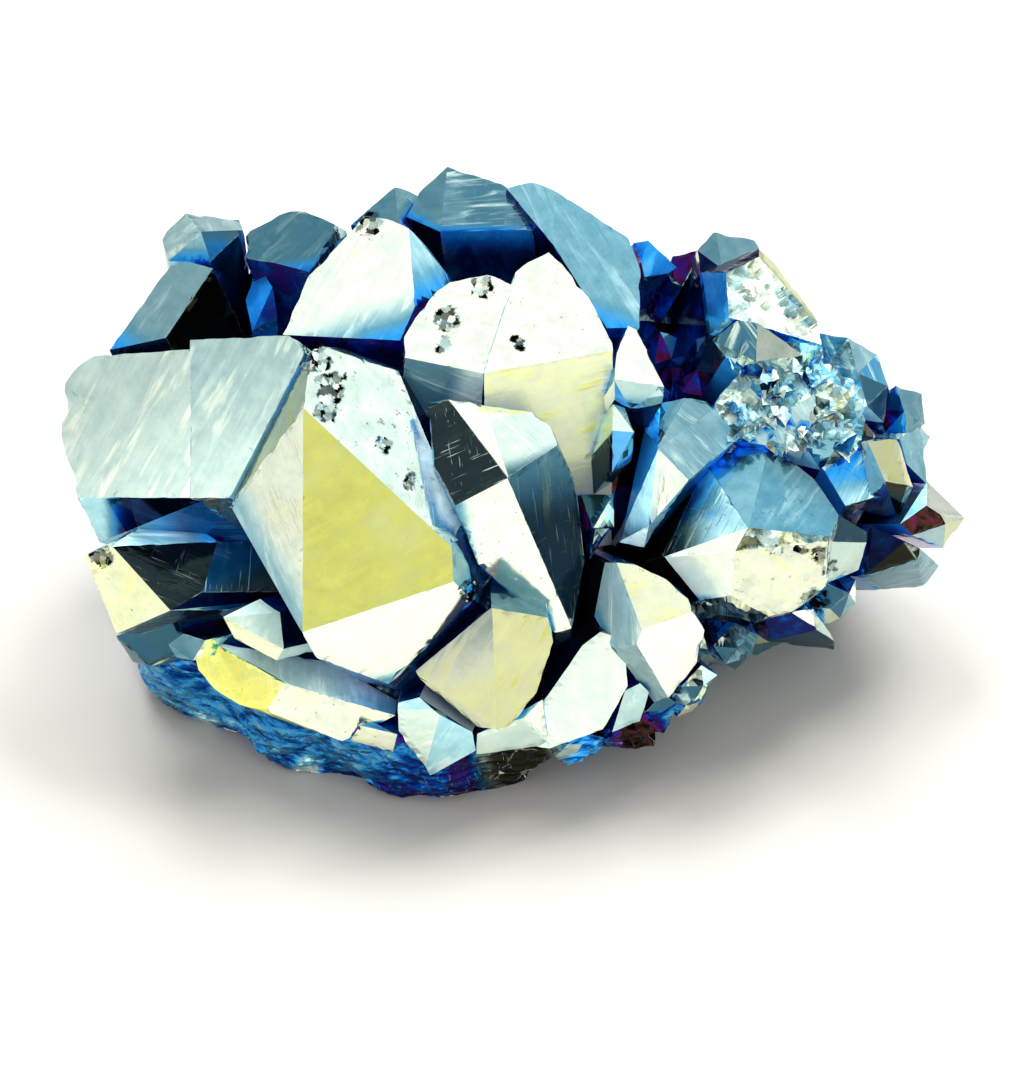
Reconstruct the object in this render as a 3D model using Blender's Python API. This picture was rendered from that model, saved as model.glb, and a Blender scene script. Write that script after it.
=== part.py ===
"""An aura quartz cluster: stubby quartz points grown together on a thin rough matrix, one solid.

The front crystals are set out in the cluster's own face frame: across is +X, up runs along the
sloping face, and out is square to it, towards the front and the top. Each one has the corners of
its head, and its prism runs back from there to its root. The back is set with plain six-sided
points. Every crystal, the matrix and the splinters are joined, then cut flat underneath.
"""

import math
import random

import bmesh
import bpy
from mathutils import Matrix, Vector, noise
from mathutils.bvhtree import BVHTree

MM = 0.001

# Moves the whole cluster so that the origin lies under the middle of it.
SET_DOWN = (-0.53, -2.43, 0.0)

# How the face that carries the crystals lies, and where their axes meet (across, up, out in mm).
FACE_SLOPE = math.radians(45.0)
GROWTH_CENTRE = (0.0, 5.0, 0.0)

# Neighbouring triangles of a crystal closer than this in angle are one grown face.
LEVEL_FACE = math.radians(9.0)
SMALLEST_FACE = 0.35  # mm2

# The matrix under the crystals, mm. The heart lies along the sloping face, and the toe carries the
# right end. The foot is a low mound on the surface that the cluster stands on, with its edge at
# these distances from its centre, one every 22.5 degrees from +X.
HEART_CENTRE = (-4.0, 13.5, 7.0)
HEART_RADII = (40.0, 27.0, 14.0)
TOE_CENTRE = (18.0, 4.0, 7.0)
TOE_RADII = (21.0, 18.0, 8.0)
FOOT_CENTRE = (-6.0, 0.0, 5.0)
FOOT_HEIGHT = 10.0
FOOT_EDGE = (
    30.0, 33.0, 33.0, 33.0, 34.0, 36.0, 38.0, 38.5,
    37.8, 37.4, 32.6, 31.0, 30.5, 27.0, 23.5, 24.0,
)
FOOT_SIDE_CURVE = 0.5  # under 1 keeps the sides of the mound steep
FOOT_TOP_CURVE = 0.9  # and under 1 here keeps its top level
MATRIX_ROUGHNESS = 1.6  # how far the matrix's surface wanders
MATRIX_GRAIN = 6.0  # between its lumps

# Crystals of the front: (root length, lean of the root or None for the growth centre, flare of the
# root, head corners), in mm in the face frame.
FRONT_CRYSTALS = {
    "great": (24, None, 1.12, [
        (-22.6, 22.4, 43.0), (-6.4, 7.1, 41.8), (-6.3, 3.5, 41.9), (-22.7, -2.0, 43.5),
        (-21.8, 28.7, 39.5), (-20.6, 29.2, 38.6), (-12.3, 26.5, 35.5), (-9.9, 19.7, 37.6),
        (-5.5, 10.2, 39.9), (-4.1, 7.4, 36.9), (-3.7, 4.0, 36.1), (-4.2, 1.4, 38.9),
        (-11.0, -4.1, 36.4), (-13.5, -7.8, 33.8), (-21.2, -4.8, 40.1), (-30.8, 11.9, 35.3),
    ]),
    "slab": (24, None, 1.0, [
        (-33.3, 29.1, 34.7), (-33.3, 12.6, 34.9), (-41.7, 12.7, 31.9), (-47.8, 12.7, 29.7),
        (-49.6, 19.5, 28.9), (-49.3, 25.2, 29.0), (-47.8, 27.2, 29.5), (-46.0, 28.3, 30.1),
        (-47.1, 11.5, 28.5), (-45.6, 7.7, 24.0),
    ]),
    "slab_high": (26, None, 1.0, [
        (-22.5, 28.5, 38.9), (-30.8, 12.6, 36.0), (-35.2, 12.6, 34.5), (-35.2, 29.8, 34.5),
        (-29.0, 30.4, 36.7), (-24.2, 30.3, 38.3),
    ]),
    "left_lean": (22, (0.35, -0.75, -0.55), 1.0, [
        (-44.5, 29.0, 26.3), (-37.8, 38.5, 24.0), (-35.6, 38.8, 24.4), (-33.1, 38.1, 25.2),
        (-34.4, 35.8, 25.9), (-38.3, 30.3, 27.2),
    ]),
    "left_stump": (26, (0.1, -0.85, -0.5), 1.0, [
        (-38.9, 41.4, 19.0), (-38.5, 42.3, 19.2), (-36.3, 44.4, 19.4), (-30.4, 43.8, 16.7),
        (-29.8, 42.5, 19.7), (-34.4, 42.2, 24.1), (-33.3, 38.8, 24.5), (-38.2, 39.0, 21.0),
    ]),
    "left_dome": (28, (0.05, -0.8, -0.6), 1.0, [
        (-29.5, 41.8, 20.0), (-25.7, 44.4, 19.0), (-23.8, 44.9, 18.0), (-22.3, 44.4, 19.0),
        (-19.6, 43.1, 20.0), (-18.4, 42.5, 18.0), (-20.4, 40.0, 21.5), (-22.4, 37.8, 24.0),
        (-28.9, 39.5, 22.5), (-25.9, 36.4, 21.0),
    ]),
    "cleft_blue": (20, (0.0, -0.5, -0.8), 1.0, [
        (-28.3, 38.8, 20.0), (-26.4, 35.9, 23.0), (-25.9, 32.8, 24.0), (-29.6, 34.7, 20.5),
        (-28.8, 31.2, 23.0), (-26.5, 30.8, 21.0),
    ]),
    "white_block": (28, None, 1.0, [
        (-16.0, 43.7, 27.9), (-13.6, 43.4, 28.1), (-11.3, 42.4, 28.7), (-10.5, 33.7, 32.7),
        (-12.1, 30.0, 34.3), (-19.9, 30.1, 34.1), (-25.0, 30.7, 33.6), (-22.5, 36.6, 30.9),
        (-18.6, 41.4, 28.9), (-8.7, 39.7, 27.2), (-6.1, 36.2, 26.4),
    ]),
    "crown": (32, None, 1.0, [
        (-10.3, 46.8, 18.9), (-7.3, 49.6, 17.4), (-6.0, 48.8, 18.1), (-2.2, 48.0, 18.7),
        (-0.5, 47.3, 19.2), (2.4, 42.4, 23.1), (-7.9, 42.2, 23.4), (-11.8, 44.0, 20.8),
        (-6.9, 39.8, 17.6), (2.1, 39.8, 16.9),
    ]),
    "crown_low": (30, None, 1.0, [
        (-17.9, 43.1, 19.0), (-15.9, 45.0, 18.6), (-13.0, 47.4, 18.4), (-11.9, 47.2, 17.9),
        (-8.9, 45.7, 17.2), (-8.4, 43.0, 19.6), (-12.4, 42.8, 21.3),
    ]),
    "crown_right": (30, (0.0, -0.7, -0.7), 1.0, [
        (-0.6, 47.2, 20.6), (2.2, 47.9, 20.7), (4.6, 47.1, 21.8), (6.2, 45.5, 22.4), (11.0, 42.1, 23.1),
        (13.0, 41.5, 22.8), (4.6, 40.6, 26.3), (13.1, 40.8, 23.2), (14.3, 37.9, 24.8),
        (14.1, 31.4, 29.3), (10.5, 31.3, 30.6), (7.8, 36.3, 28.2),
    ]),
    "tower_left": (24, (-0.05, -0.85, -0.5), 1.0, [
        (-11.7, 27.9, 36.0), (-11.8, 30.3, 34.5), (-10.1, 33.2, 32.9), (-8.2, 35.4, 31.7),
        (-6.8, 36.3, 31.4), (-4.3, 36.8, 31.5), (-2.6, 37.3, 31.6), (-1.5, 36.8, 32.1),
        (0.2, 36.0, 32.9), (-3.0, 26.2, 38.9),
    ]),
    "tower": (24, (0.0, -0.88, -0.47), 1.0, [
        (-3.0, 26.2, 40.1), (11.1, 28.7, 36.0), (11.1, 29.7, 35.3), (8.5, 34.7, 32.2),
        (5.6, 38.4, 30.0), (4.1, 39.7, 29.3), (1.8, 38.6, 30.5), (0.5, 37.6, 31.4), (-0.1, 36.0, 32.6),
        (-2.8, 28.9, 34.0),
    ]),
    "wedge": (24, None, 1.0, [
        (-0.4, 14.8, 46.0), (-6.2, 11.7, 43.0), (-3.6, 5.3, 38.7), (3.8, 1.7, 37.1), (4.8, -2.2, 34.3),
        (6.6, -1.7, 35.0), (8.0, 5.9, 35.5), (7.1, 14.0, 38.4), (5.0, 18.4, 41.5), (4.3, 20.4, 40.0),
        (2.2, 22.0, 39.3), (-2.4, 21.2, 41.3), (-6.8, 23.4, 39.8), (-9.1, 23.0, 38.5),
        (-8.5, 16.1, 40.5),
    ]),
    "left_small": (22, None, 1.0, [
        (-43.9, 7.4, 31.0), (-37.4, 0.3, 33.4), (-43.5, -2.3, 29.5), (-45.4, 2.3, 29.2),
        (-47.1, 6.3, 29.0), (-34.0, 2.3, 31.1), (-32.4, 7.9, 27.0), (-37.7, 11.2, 24.0),
        (-42.6, 8.5, 29.1),
    ]),
    "left_sill": (14, None, 1.0, [
        (-43.7, -2.6, 27.0), (-37.3, 0.1, 30.0), (-37.0, -1.9, 28.0), (-40.0, -6.1, 24.0),
        (-42.1, -5.5, 22.0), (-35.5, -3.9, 26.0),
    ]),
    "lying": (14, (0.1, 0.2, -0.97), 1.0, [
        (-30.6, -4.6, 28.6), (-24.7, -7.8, 29.9), (-12.8, -11.3, 29.1), (-18.7, -14.2, 26.8),
        (-27.1, -10.8, 27.9), (-32.8, -8.5, 26.2), (-34.6, -6.3, 26.1), (-35.2, -4.3, 26.6),
        (-33.8, -3.5, 27.4), (-32.6, -3.3, 28.0), (-28.5, -4.2, 27.3), (-20.7, -5.3, 25.3),
        (-12.6, -9.6, 27.1), (-30.0, -10.2, 26.8),
    ]),
    "tab": (10, None, 1.0, [
        (-32.2, 0.1, 32.0), (-27.6, 1.6, 31.0), (-25.4, 0.1, 32.5), (-24.9, -3.9, 34.5),
        (-25.8, -5.2, 33.5), (-30.4, -2.7, 32.5), (-31.6, -0.4, 33.2),
    ]),
    "olive": (22, None, 1.0, [
        (-2.2, 0.7, 41.4), (-1.6, -12.7, 33.0), (-10.5, -6.3, 34.6), (-10.1, -7.2, 33.9),
        (-3.8, -12.5, 31.9), (-0.1, -12.5, 32.3), (2.8, -8.7, 33.0), (4.6, -3.1, 35.5),
        (3.9, -0.4, 37.6), (-2.3, 3.8, 36.0), (3.9, 1.6, 34.1),
    ]),
    "low_white": (20, None, 1.0, [
        (9.7, -2.0, 33.8), (10.8, -2.3, 33.7), (11.3, -4.0, 32.9), (12.5, -5.3, 32.3),
        (12.8, -8.0, 31.0), (10.1, -12.9, 28.4), (7.7, -12.9, 28.3), (4.2, -15.0, 27.0),
        (1.7, -14.6, 27.1), (3.4, -9.9, 29.5), (7.8, -3.5, 33.0), (3.2, -9.7, 25.0), (4.7, -4.7, 27.0),
    ]),
    "low_left": (18, None, 1.0, [
        (-12.5, -9.8, 32.0), (-10.1, -9.2, 33.0), (-8.3, -10.9, 32.5), (-4.3, -13.1, 30.5),
        (-3.9, -15.2, 28.5), (-5.7, -16.6, 27.0), (-9.0, -18.0, 26.0), (-9.8, -17.1, 26.5),
        (-12.5, -13.1, 29.5),
    ]),
    "low_mid": (16, None, 1.0, [
        (-3.8, -13.3, 30.5), (1.5, -11.4, 31.0), (3.4, -9.5, 31.0), (4.2, -14.6, 27.0),
        (1.5, -14.8, 27.2), (-1.7, -15.0, 27.8), (-3.9, -15.6, 28.0),
    ]),
    "low_chip": (12, None, 1.0, [
        (-16.7, -12.3, 29.0), (-12.6, -13.4, 29.0), (-13.0, -15.4, 27.0), (-17.8, -14.1, 27.5),
        (-15.4, -12.0, 28.5),
    ]),
    "right_foot": (22, None, 1.0, [
        (10.2, 5.6, 34.5), (11.5, 5.6, 36.2), (13.7, 5.3, 35.5), (16.9, 3.8, 35.0), (19.3, 1.6, 35.0),
        (19.8, 0.3, 35.4), (14.2, -1.8, 38.2), (21.2, -1.8, 32.6), (20.4, -5.6, 30.4),
        (17.2, -9.3, 29.9), (13.7, -3.4, 37.0), (11.3, -4.0, 33.9), (9.0, -0.3, 31.5),
        (15.7, -9.9, 27.5), (12.5, -5.4, 31.0),
    ]),
    "right_great": (26, (-0.35, -0.1, -0.93), 1.08, [
        (24.4, 6.8, 37.0), (34.7, 7.9, 35.2), (34.6, 2.9, 31.1), (30.9, 0.0, 29.7), (28.2, -0.5, 29.9),
        (24.1, 1.9, 33.0), (20.7, 1.4, 31.2), (16.7, 6.2, 33.1), (25.8, 9.4, 37.4), (34.9, 8.4, 35.3),
        (35.9, 10.8, 33.1), (33.4, 14.6, 30.8), (28.5, 18.6, 29.2), (24.2, 18.4, 29.2),
        (21.3, 16.5, 30.7), (22.9, 13.6, 33.0), (17.0, 6.7, 31.0),
    ]),
    "right_great_side": (20, (-0.35, -0.1, -0.93), 1.0, [
        (34.3, 7.9, 34.5), (39.1, 7.7, 28.5), (38.4, 4.7, 26.0), (34.6, 3.3, 31.0), (35.6, 11.0, 33.0),
        (39.2, 8.9, 28.5), (31.7, 5.8, 32.0),
    ]),
    "right_tab": (18, (-0.5, 0.0, -0.87), 1.0, [
        (39.3, 18.9, 27.0), (42.7, 19.3, 25.5), (43.8, 14.1, 25.5), (41.2, 14.5, 28.0),
        (38.3, 11.4, 23.5), (44.5, 13.9, 23.5), (42.9, 10.3, 21.0),
    ]),
    "right_back": (16, (-0.5, 0.0, -0.87), 1.0, [
        (41.7, 20.9, 19.0), (46.5, 21.3, 17.0), (47.4, 19.6, 16.5), (46.9, 14.5, 17.0),
        (44.6, 14.0, 19.5), (42.1, 17.8, 20.5),
    ]),
    "right_red": (20, (-0.6, 0.0, -0.8), 1.0, [
        (43.0, 9.8, 25.0), (46.0, 11.9, 22.0), (47.7, 11.0, 20.5), (48.3, 9.8, 20.0), (44.5, 8.5, 23.5),
        (46.5, 14.6, 16.0), (49.0, 11.6, 15.5), (50.7, 10.4, 15.0), (48.2, 7.1, 17.0),
    ]),
    "right_black": (22, (-0.6, 0.0, -0.8), 1.0, [
        (39.4, 9.8, 26.0), (43.5, 7.8, 25.0), (45.3, 7.1, 23.5), (45.1, 5.7, 22.5), (39.1, 4.0, 20.0),
        (43.7, 5.1, 21.0), (47.9, 5.2, 15.0), (46.3, 2.8, 12.5), (41.4, 2.4, 14.0),
    ]),
    "right_tail": (18, (-0.5, 0.3, -0.81), 1.0, [
        (28.1, -0.8, 26.0), (31.4, 0.2, 27.5), (33.3, 0.5, 27.5), (33.6, -1.9, 25.5),
        (35.9, -4.2, 21.0), (32.0, -3.6, 21.5), (28.5, -3.3, 22.5), (35.9, -3.1, 23.0),
    ]),
    "right_grit": (16, (-0.5, 0.3, -0.81), 1.0, [
        (31.8, 0.9, 27.0), (35.2, 3.0, 26.0), (38.6, 3.6, 23.0), (39.7, 2.2, 20.0), (37.6, -0.9, 20.0),
        (36.3, -2.7, 21.0), (33.6, -2.1, 24.5),
    ]),
    "top_blue": (16, (-0.3, -0.5, -1.0), 1.0, [
        (13.6, 41.2, 20.0), (15.2, 41.4, 20.5), (16.7, 40.0, 21.0), (18.4, 38.3, 22.0),
        (17.4, 37.6, 22.5), (14.8, 37.2, 23.0), (14.3, 38.9, 22.0),
    ]),
    "top_violet": (16, (-0.3, -0.5, -1.0), 1.0, [
        (17.9, 39.7, 19.0), (20.8, 40.3, 19.0), (19.8, 37.5, 20.5), (19.0, 36.1, 21.5),
        (17.8, 36.7, 21.0), (17.3, 37.7, 20.5),
    ]),
    "top_dark": (20, (-0.3, -0.5, -1.0), 1.0, [
        (20.6, 40.2, 22.0), (22.4, 42.3, 20.0), (25.4, 41.8, 20.0), (27.1, 41.4, 20.0),
        (27.6, 40.3, 21.0), (23.5, 37.9, 25.0), (20.9, 37.7, 24.0),
    ]),
    "top_right": (22, (-0.3, -0.5, -1.0), 1.0, [
        (20.9, 37.7, 24.3), (23.6, 37.5, 28.3), (23.9, 32.5, 31.3), (21.8, 30.6, 29.5),
        (21.0, 33.5, 26.8), (27.4, 39.4, 24.6), (31.0, 35.5, 24.6), (33.9, 32.2, 24.8),
        (34.3, 29.6, 26.2), (27.0, 31.7, 29.8), (27.4, 40.4, 23.1), (29.3, 38.6, 22.8),
        (31.6, 35.7, 23.2), (33.9, 32.4, 24.3),
    ]),
    "mid_right": (24, (-0.3, -0.5, -1.0), 1.0, [
        (22.1, 30.1, 29.0), (24.8, 32.2, 31.0), (26.9, 27.6, 31.0), (25.7, 27.2, 30.0),
        (23.5, 28.1, 29.0), (27.0, 32.0, 31.5), (32.1, 28.4, 30.0), (31.9, 26.2, 28.5),
        (28.5, 26.3, 29.5),
    ]),
    "mid_shelf": (22, (-0.3, -0.5, -1.0), 1.0, [
        (22.3, 23.3, 27.5), (25.0, 26.3, 28.0), (30.1, 26.1, 29.0), (32.4, 26.8, 29.0),
        (33.5, 23.7, 30.0), (32.4, 17.7, 30.0), (24.6, 19.0, 30.5), (22.3, 21.9, 29.0),
    ]),
    "boulder": (22, (-0.3, -0.5, -1.0), 1.0, [
        (31.5, 27.7, 27.0), (33.2, 30.1, 27.0), (35.4, 30.1, 26.0), (37.2, 28.8, 25.5),
        (38.7, 25.9, 25.5), (39.6, 23.3, 25.5), (41.0, 21.5, 24.5), (40.8, 19.5, 25.0),
        (38.2, 16.6, 27.0), (33.1, 17.1, 30.0), (31.1, 20.7, 30.5), (30.9, 24.8, 29.5),
    ]),
    "band": (20, (-0.3, -0.5, -1.0), 1.0, [
        (34.7, 32.4, 22.0), (36.8, 32.8, 20.0), (38.3, 30.9, 20.0), (40.8, 28.5, 20.0),
        (42.5, 26.5, 19.0), (42.8, 24.3, 20.0), (42.0, 22.0, 21.5), (39.3, 22.7, 23.0),
        (37.3, 26.2, 23.0), (35.1, 29.3, 23.5),
    ]),
    "glint": (18, (-0.3, -0.5, -1.0), 1.0, [
        (41.5, 25.6, 19.0), (43.8, 26.0, 18.5), (45.7, 24.6, 17.5), (46.6, 23.3, 17.0),
        (46.5, 21.2, 18.0), (43.7, 20.0, 20.5), (41.4, 22.0, 21.0),
    ]),
    "blue_pair": (16, (-0.3, -0.5, -1.0), 1.0, [
        (34.2, 16.0, 27.5), (36.1, 17.8, 26.5), (38.7, 18.4, 26.0), (40.8, 16.4, 25.0),
        (40.1, 12.7, 25.5), (36.9, 11.8, 27.0),
    ]),
    "splinter": (22, None, 1.0, [
        (12.8, 31.6, 31.0), (13.8, 31.3, 31.0), (15.1, 28.1, 34.0), (16.7, 24.8, 36.0),
        (11.2, 25.5, 36.5), (11.5, 28.7, 34.5), (16.6, 23.0, 34.0), (13.1, 22.3, 34.5),
        (11.2, 23.3, 34.8),
    ]),
    "splinter_low": (22, None, 1.0, [
        (11.1, 23.0, 35.5), (12.5, 22.6, 35.0), (13.4, 19.8, 37.0), (11.0, 20.0, 37.5),
        (13.3, 16.9, 34.0), (11.0, 15.4, 34.2),
    ]),
    "striated": (22, (-0.2, -0.2, -0.96), 1.0, [
        (16.3, 23.1, 30.0), (19.1, 23.7, 30.0), (21.4, 23.4, 30.0), (22.4, 22.4, 30.5),
        (24.6, 19.7, 31.2), (24.3, 18.6, 31.8), (19.4, 14.6, 35.0), (15.1, 9.6, 32.0),
        (13.6, 10.6, 31.0), (13.4, 12.9, 31.0), (16.0, 18.1, 34.3), (14.6, 20.9, 29.0),
        (14.6, 7.2, 29.5), (11.8, 7.8, 29.5),
    ]),
    "cleft_violet": (16, (-0.3, -0.5, -1.0), 1.0, [
        (14.8, 29.7, 21.5), (16.5, 31.3, 22.0), (18.4, 30.5, 21.5), (17.8, 28.2, 22.0),
        (15.9, 27.5, 22.0),
    ]),
    "cleft_magenta": (16, (-0.3, -0.5, -1.0), 1.0, [
        (18.1, 25.7, 25.0), (20.5, 26.9, 26.0), (22.4, 26.4, 25.0), (21.1, 23.9, 26.5),
        (18.8, 24.4, 26.5),
    ]),
    "gap_one": (18, None, 1.0, [
        (7.5, 13.1, 33.0), (11.2, 13.1, 32.5), (9.0, 9.4, 37.0), (7.7, 8.7, 33.5), (11.3, 9.4, 33.5),
    ]),
    "gap_two": (16, None, 1.0, [
        (9.2, 9.4, 35.0), (11.0, 9.6, 33.5), (10.0, 8.3, 33.5), (8.6, 5.8, 31.5), (8.0, 8.0, 32.0),
    ]),
    "left_tip": (14, None, 1.0, [
        (-37.8, -3.5, 29.0), (-36.2, -2.2, 29.5), (-33.7, -3.0, 30.0), (-35.1, -5.3, 29.5),
        (-37.0, -4.9, 28.5),
    ]),
    "low_step": (14, None, 1.0, [
        (12.5, -8.5, 30.0), (14.1, -7.7, 31.0), (15.2, -8.7, 30.0), (14.2, -12.0, 27.5),
        (11.1, -13.2, 27.0),
    ]),
    "glitter": (14, (-0.2, 0.2, -0.96), 1.0, [
        (21.9, -1.0, 28.5), (25.7, 0.1, 28.0), (28.0, -2.8, 26.0), (27.2, -5.5, 24.5),
        (24.7, -6.4, 24.5), (22.4, -5.4, 26.0), (21.2, -3.2, 28.0), (24.9, -3.0, 29.0),
    ]),
    "glitter_low": (14, (-0.2, 0.2, -0.96), 1.0, [
        (18.8, -7.6, 27.5), (20.8, -5.6, 28.5), (22.8, -6.3, 26.5), (23.0, -7.7, 25.5),
        (21.4, -9.4, 25.0), (19.3, -10.3, 25.5),
    ]),
    "drip": (10, (0.0, 0.5, -0.86), 1.0, [
        (-1.5, -14.3, 27.0), (2.0, -13.8, 27.5), (4.7, -14.1, 27.0), (5.6, -15.6, 25.0),
        (3.7, -17.6, 23.0), (0.9, -17.9, 23.5), (-1.9, -17.4, 24.5),
    ]),
    "drip_blue": (9, (0.0, 0.5, -0.86), 1.0, [
        (4.5, -13.9, 27.0), (7.6, -13.6, 27.5), (10.2, -13.8, 27.0), (10.5, -15.5, 25.0),
        (7.7, -17.4, 23.0), (5.1, -16.9, 24.0), (4.1, -15.4, 25.5),
    ]),
    "drip_right": (10, (-0.1, 0.6, -0.8), 1.0, [
        (9.5, -13.5, 27.0), (12.6, -12.5, 27.5), (15.3, -11.2, 27.5), (16.5, -12.7, 25.5),
        (15.7, -15.0, 23.5), (12.7, -15.8, 23.0), (9.8, -15.9, 24.0),
    ]),
    "drip_bright": (10, (-0.2, 0.6, -0.8), 1.0, [
        (14.6, -10.7, 27.5), (16.4, -9.3, 28.0), (18.2, -9.3, 27.0), (18.6, -11.2, 25.0),
        (17.6, -13.9, 23.5), (15.9, -14.6, 23.0), (14.7, -13.4, 25.0),
    ]),
    "drip_dark": (10, (-0.2, 0.6, -0.8), 1.0, [
        (17.5, -9.6, 27.0), (19.7, -8.7, 27.0), (21.7, -7.9, 26.0), (22.7, -8.6, 24.5),
        (21.1, -10.6, 23.5), (19.1, -11.7, 23.5), (17.8, -11.9, 24.5),
    ]),
    "back_filler": (12, (-0.3, -0.5, -1.0), 1.0, [
        (16.7, 39.2, 12.0), (23.4, 39.2, 13.0), (23.3, 34.9, 14.0), (16.6, 34.9, 14.0),
    ]),
    "foot_blue": (14, None, 1.0, [
        (19.4, -3.0, 29.0), (21.1, -2.1, 29.5), (21.9, -4.6, 27.5), (20.5, -5.6, 28.0),
    ]),
}

# Six-sided points of the back, the left end and the right end: (tip in mm, radius in mm).
BACK_CRYSTALS = (
    ((-47.0, 4.5, 13.0), 8.5),
    ((-43.5, -6.0, 16.5), 7.0),
    ((-45.5, 9.0, 24.0), 7.0),
    ((-42.0, 13.0, 15.0), 9.0),
    ((-35.0, 26.0, 15.0), 9.0),
    ((-22.0, 34.0, 12.0), 9.5),
    ((-5.0, 38.0, 13.0), 10.5),
    ((12.0, 37.0, 12.0), 9.5),
    ((27.0, 31.0, 12.0), 9.5),
    ((39.0, 20.0, 11.0), 8.5),
    ((-37.0, 17.0, 28.0), 7.5),
    ((-26.0, 27.0, 27.0), 8.5),
    ((-10.0, 33.0, 26.0), 9.5),
    ((7.0, 34.0, 25.0), 9.5),
    ((22.0, 27.0, 26.0), 9.0),
    ((34.0, 19.0, 21.0), 8.5),
    ((-22.0, 22.0, 37.0), 8.5),
    ((-5.0, 27.0, 36.0), 9.5),
    ((11.0, 25.0, 34.5), 9.0),
    ((24.0, 19.0, 32.0), 8.5),
    ((36.0, 9.0, 25.0), 6.5),
)
BACK_ROOT = 0.25  # share of the way from the growth centre to the tip where a back crystal starts
BACK_HEAD = 1.05  # height of a back crystal's pyramid, in radii
BACK_PRISM = (0.8, 1.0)  # how far its prism faces stand from its axis, in radii
BACK_PRISM_TAPER = 0.06
BACK_TIP_TAPER = (0.75, 0.95)
BACK_TIP_OFFSET = 0.12  # how far a tip face may miss the tip, in radii
BACK_SEED = 7

# Lumps of broken quartz rather than grown faces.
BROKEN = (
    "boulder", "band", "right_grit", "right_back", "glint", "glitter", "glitter_low",
    "drip", "drip_blue", "drip_right", "drip_bright", "drip_dark",
)
LUMP_DETAIL = 2
LUMP_GRAIN = 2.5
LUMP_ROUGHNESS = 0.7
LUMP_MIDDLE = 0.3  # share of the root length from the head to the lump's middle

# Splinters of broken quartz strewn over the shelf and the boulder: where they lie, across and up.
SHARD_BED = ("mid_shelf", "boulder", "mid_right")
SHARD_ACROSS = (22.0, 39.0)
SHARD_UP = (17.5, 28.5)
SHARD_DROP = 60.0  # height out of the face that a splinter is let down from
SHARDS = 34
SHARD_CORNERS = 7
SHARD_SIZE = (1.3, 2.6)
SHARD_SEED = 12

# Quartz in the small gaps between the crystals' roots: (centre in mm, radius in mm).
ROOT_FILLS = (
    ((38.0, 1.6, 16.2), 1.6),
    ((6.1, -6.4, 24.3), 2.7),
    ((23.9, -7.4, 33.3), 1.2),
    ((33.8, -3.0, 36.3), 0.7),
)

UNDERSIDE_CUT_SIZE = 0.3  # metres

COAT_COLOUR = (0.55, 0.66, 0.72, 1.0)
COAT_ROUGHNESS = 0.12


def in_world(across, up, out):
    """A point of the face frame, in metres in the part's own frame."""
    slope_cos, slope_sin = math.cos(FACE_SLOPE), math.sin(FACE_SLOPE)
    return Vector((across, slope_sin * up - slope_cos * out, slope_cos * up + slope_sin * out)) * MM


def wander(place, grain):
    """Rough noise between about -1 and 1, with lumps about this far apart."""
    return noise.noise(place / grain) + 0.5 * noise.noise(place / grain * 2.3)


def object_from(bm, name, collection):
    mesh = bpy.data.meshes.new(name)
    bm.to_mesh(mesh)
    bm.free()
    obj = bpy.data.objects.new(name, mesh)
    obj.location = Vector(SET_DOWN) * MM
    collection.objects.link(obj)
    return obj


def level_region(first, taken):
    """The hull faces round this one that lie level with it, as one face: (centre, normal, area)."""
    region, normal = [], Vector()
    waiting = [first]
    while waiting:
        face = waiting.pop()
        if face in taken or (region and face.normal.angle(normal, 0.0) > LEVEL_FACE):
            continue
        taken.add(face)
        region.append(face)
        normal += face.normal * face.calc_area()
        for edge in face.edges:
            waiting += [other for other in edge.link_faces if other not in taken]
    area = sum(face.calc_area() for face in region)
    centre = sum((face.calc_center_median() * face.calc_area() for face in region), Vector()) / area
    return centre, normal.normalized(), area


def hull_planes(points):
    """The grown faces of the convex hull of the points, as (point, normal) planes."""
    bm = bmesh.new()
    for point in points:
        bm.verts.new(point)
    hull = bmesh.ops.convex_hull(bm, input=bm.verts, use_existing_faces=False)
    unused = hull["geom_interior"] + hull["geom_unused"]
    inside = {vert for vert in unused if isinstance(vert, bmesh.types.BMVert)}
    bmesh.ops.delete(bm, geom=list(inside), context="VERTS")
    bmesh.ops.recalc_face_normals(bm, faces=bm.faces)
    bm.normal_update()
    taken, planes = set(), []
    for face in sorted(bm.faces, key=lambda face: -face.calc_area()):
        if face in taken:
            continue
        centre, normal, area = level_region(face, taken)
        if area > SMALLEST_FACE * MM * MM:
            planes.append((centre, normal))
    bm.free()
    return planes


def solid_between(planes, reach=0.2):
    """The convex solid inside all the planes, cut out of a cube of this size."""
    bm = bmesh.new()
    bmesh.ops.create_cube(bm, size=reach)
    for centre, normal in planes:
        whole = bm.verts[:] + bm.edges[:] + bm.faces[:]
        cut = bmesh.ops.bisect_plane(
            bm, geom=whole, plane_co=centre, plane_no=normal, clear_outer=True, dist=1e-7
        )
        edges = [edge for edge in cut["geom_cut"] if isinstance(edge, bmesh.types.BMEdge)]
        if len(edges) > 2:
            bmesh.ops.contextual_create(bm, geom=edges)
    bmesh.ops.recalc_face_normals(bm, faces=bm.faces)
    return bm


def crystal_shape(root_length, lean, flare, corners):
    """The planes of a crystal with this head, the middle of the head and the way to the root."""
    head = [in_world(*corner) for corner in corners]
    middle = sum(head, Vector()) / len(head)
    way = in_world(*lean) if lean else in_world(*GROWTH_CENTRE) - middle
    to_root = way.normalized() * root_length * MM
    root = [middle + (corner - middle) * flare + to_root for corner in head]
    return hull_planes(head + root), middle, to_root


def front_crystal(name, shape, collection):
    planes, _, _ = crystal_shape(*shape)
    object_from(solid_between(planes), name, collection)


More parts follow.
